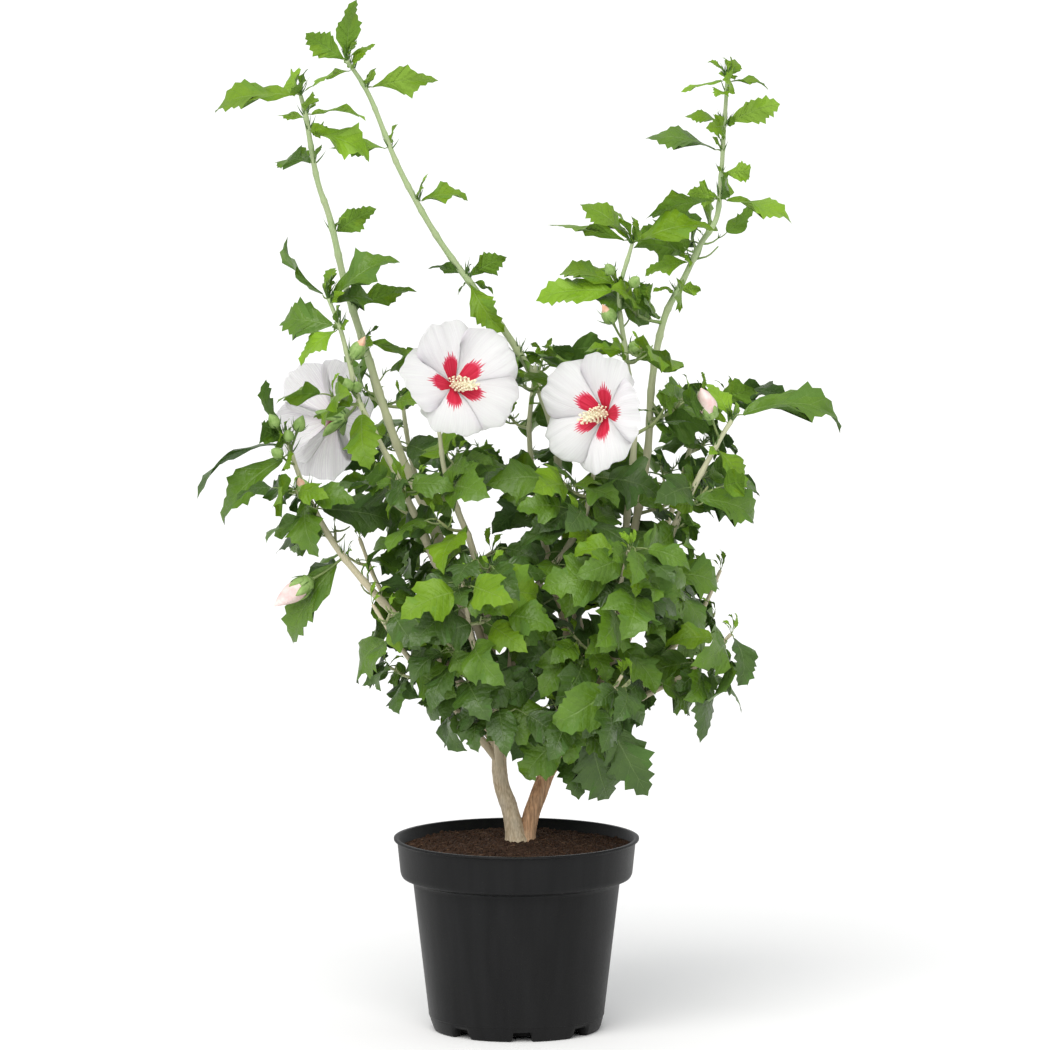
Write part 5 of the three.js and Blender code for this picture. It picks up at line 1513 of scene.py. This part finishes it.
def spindle(foot, axis, length, radius, lobes, depth, twist, sides=24, rows=16, fullest=0.4):
    """A spindle: its radius rises and falls as a sine whose middle is moved to fullest, and lobes run
    round it in a slow twist."""
    share = np.linspace(0.0, 1, rows)
    bent = share ** (math.log(0.5) / math.log(fullest))
    angle = np.linspace(0, 2 * np.pi, sides, endpoint=False)
    size = radius * (np.sin(np.pi * np.clip(bent, 0.03, 0.985)) ** 0.8)[:, None]
    size = size * (1 + depth * np.abs(np.sin(lobes * angle / 2 + twist * share[:, None])))
    return turned_about(foot, axis, length * share, size, sides)


for n, (name, height, tip, length, radius, kind) in enumerate(BUDS):
    shoot = next(s for s in SHOOTS if s["name"] == name)
    start = line_through(shoot["route"], share_at(shoot["route"], height))[0]
    tip = np.array(tip, float)
    axis = unit(tip - start)
    foot = tip - axis * length
    if kind == "pink":
        furled.take_tube(spindle(foot + axis * 3, axis, length - 3, radius, 3, 0.16, 2.6))
    elif kind == "tipped":
        tipped.take_tube(spindle(foot + axis * 4, axis, length - 4, radius * 0.62, 3, 0.14, 2.2, 18, 12))
    held = HELD[kind] * length
    across, upward = square_to(axis, (0.2, 0.1, 1))
    if kind != "pink":
        knob = held * (0.8 if kind == "tipped" else 1)
        green_buds.take_tube(spindle(foot, axis, knob, radius, 5, 0.10, 0.0, 20, 12, 0.36))
    else:
        share = np.linspace(0, 1, 7)
        widths = radius * np.interp(share, [0, 0.3, 1], [0.3, 0.95, 1.06])
        green_buds.take_tube(turned_about(foot, axis, 0.3 * length * share, widths, 20))
    for k in range(5 if kind != "green" else 0):
        out = around(across, upward, 2 * np.pi * k / 5 + n)
        way, face = opened(axis, out, 0.30 if kind == "pink" else 0.12)
        points, parts, _ = thin_sheet(
            foot + axis * 0.12 * length + out * radius * 0.82, way, face, np.cross(face, way),
            held - 0.12 * length, -0.9 if kind == "tipped" else -0.35, sepal_outline,
            lambda t, s: 0.10 * (s * s - 1) * np.sin(np.pi * t), 0.5, *even_grid(8, 7))
        green_buds.take(points, [np.concatenate(parts)])
    long = length * (0.42 if kind == "pink" else 0.85)
    add_bracts(foot + axis * 1.0, axis, 6, radius * 0.35, 0.95, long, n + 20)
    middle = (start + foot) / 2 + np.array([0, 0, -1.5])
    share = np.linspace(0, 1, 10)
    stalk = line_through([start, middle, foot + axis], share)
    bloom_stalks.take_tube(ringed(stalk, np.interp(share, [0, 0.8, 1], [1.3, 1.1, 1.8]), 7))
for bloom in BLOOMS:
    shoot = next(s for s in SHOOTS if s["name"] == bloom["shoot"])
    begin = share_at(shoot["route"], bloom["start"]) if "start" in bloom else 1
    start = line_through(shoot["route"], begin)[0]
    axis = unit(bloom["faces"])
    end = np.array(bloom["centre"]) - axis * 14
    middle = (start + end) / 2 - axis * 3
    share = np.linspace(0, 1, 12)
    stalk = line_through([start, middle, end], share)
    bloom_stalks.take_tube(ringed(stalk, np.interp(share, [0, 0.85, 1], [1.6, 1.4, 2.2]), 8))

pink = two_toned("furled_pink", (0.80, 0.52, 0.50, 1), (0.90, 0.76, 0.72, 1), 140, 0.0002, grain=700,
                 Roughness=0.5, Specular_IOR_Level=0.35)
apricot = two_toned("furled_apricot", (0.78, 0.42, 0.26, 1), (0.88, 0.64, 0.48, 1), 240, 0.0002, grain=700,
                    Roughness=0.5, Specular_IOR_Level=0.35)
put_on(furled.piece("pink_buds", [pink]), "foliage", *foliage_nodes)
put_on(tipped.piece("apricot_buds", [apricot]), "foliage", *foliage_nodes)
put_on(green_buds.piece("bud_calyxes", [calyx_green]), "foliage", *foliage_nodes)
put_on(bloom_stalks.piece("flower_stalks", [stalk_finish]), "foliage", *foliage_nodes)

# ---------------------------------------------------------------- stipules and bracts
# Thin green awls: stipules beside the leaves of the young wood, two to a leaf and four to one that
# stands free, and a ring of bracts under every flower and bud. They grow from the bark and the stalks.
AWL_RINGS = 5
AWL_GIRTH = 0.5  # at the foot, and more by the length times a slope
BRISTLE_TURNS = (48, -48, 150, -110)  # degrees round the shoot from the leaf to each stipule


def awls(foot, way, bow, length, slope):
    """Thin curved spikes, many at once: each leaves its foot along way and leans over towards bow by
    the square of the distance, while its girth falls off to a point."""
    girth = AWL_GIRTH + slope * length
    t = np.linspace(0, 1, AWL_RINGS)[:, None]
    size = length[:, None, None]
    line = foot[:, None] + size * (way[:, None] * t + bow[:, None] * (0.5 * t * t))
    first = np.cross(way, [0.31, 0.52, 0.79])
    first /= np.linalg.norm(first, axis=1, keepdims=True)
    second = np.cross(way, first)
    angle = np.radians([90, 210, 330])
    ring = first[:, None] * np.cos(angle)[:, None] + second[:, None] * np.sin(angle)[:, None]
    thick = girth[:, None, None, None] * (1.02 - t)[..., None]
    thick = thick * (0.75 + 0.5 * np.sin(np.pi * t))[..., None]
    return line[:, :, None] + thick * ring[:, None]


def awl_faces(count):
    """The faces of that many spikes: their sides and both ends."""
    rings = AWL_RINGS
    ends = np.array([(0, 2, 1), (3 * rings - 3, 3 * rings - 2, 3 * rings - 1)])
    return [repeated(grid_faces(rings, 3, closed=True), count, 3 * rings), repeated(ends, count, 3 * rings)]


holders = [leaf for leaf in leaves if leaf["kind"] != "bud" and leaf["at"][2] > YOUNG_WOOD[0]]
foot, sideways, long = [], [], []
for leaf in holders:
    shows = leaf["kind"] == "show"
    for n, turned in enumerate(BRISTLE_TURNS[:4 if shows else 2]):
        seed = leaf["seed"] + 0.3 * n + 0.15
        foot.append(leaf["at"])
        sideways.append(direction(leaf["heading"] + turned, mix(38, 78, draw(seed))))
        long.append(mix(11, 20, draw(seed + 0.3)) if shows else mix(5, 11, draw(seed + 0.3)))
foot, sideways, long = np.array(foot), np.array(sideways), np.array(long)
spikes = awls(foot, sideways, np.array([0, 0, 0.5]) - 0.4 * sideways, long, 0.026)
bract_long = np.array(bract_long)
bracts = awls(np.array(bract_foot), np.array(bract_way), np.array(bract_bow), bract_long, 0.03)

bract_green = two_toned("bract_green", (0.055, 0.13, 0.025, 1), (0.13, 0.24, 0.05, 1), 260, 0.0002,
                        detail=4, Roughness=0.5, Specular_IOR_Level=0.4)
awl_points = np.concatenate([spikes.reshape(-1, 3), bracts.reshape(-1, 3)])
thorn = new_piece("stipules_and_bracts", awl_points, awl_faces(len(spikes) + len(bracts)), [bract_green])
put_on(thorn, "foliage", *foliage_nodes)
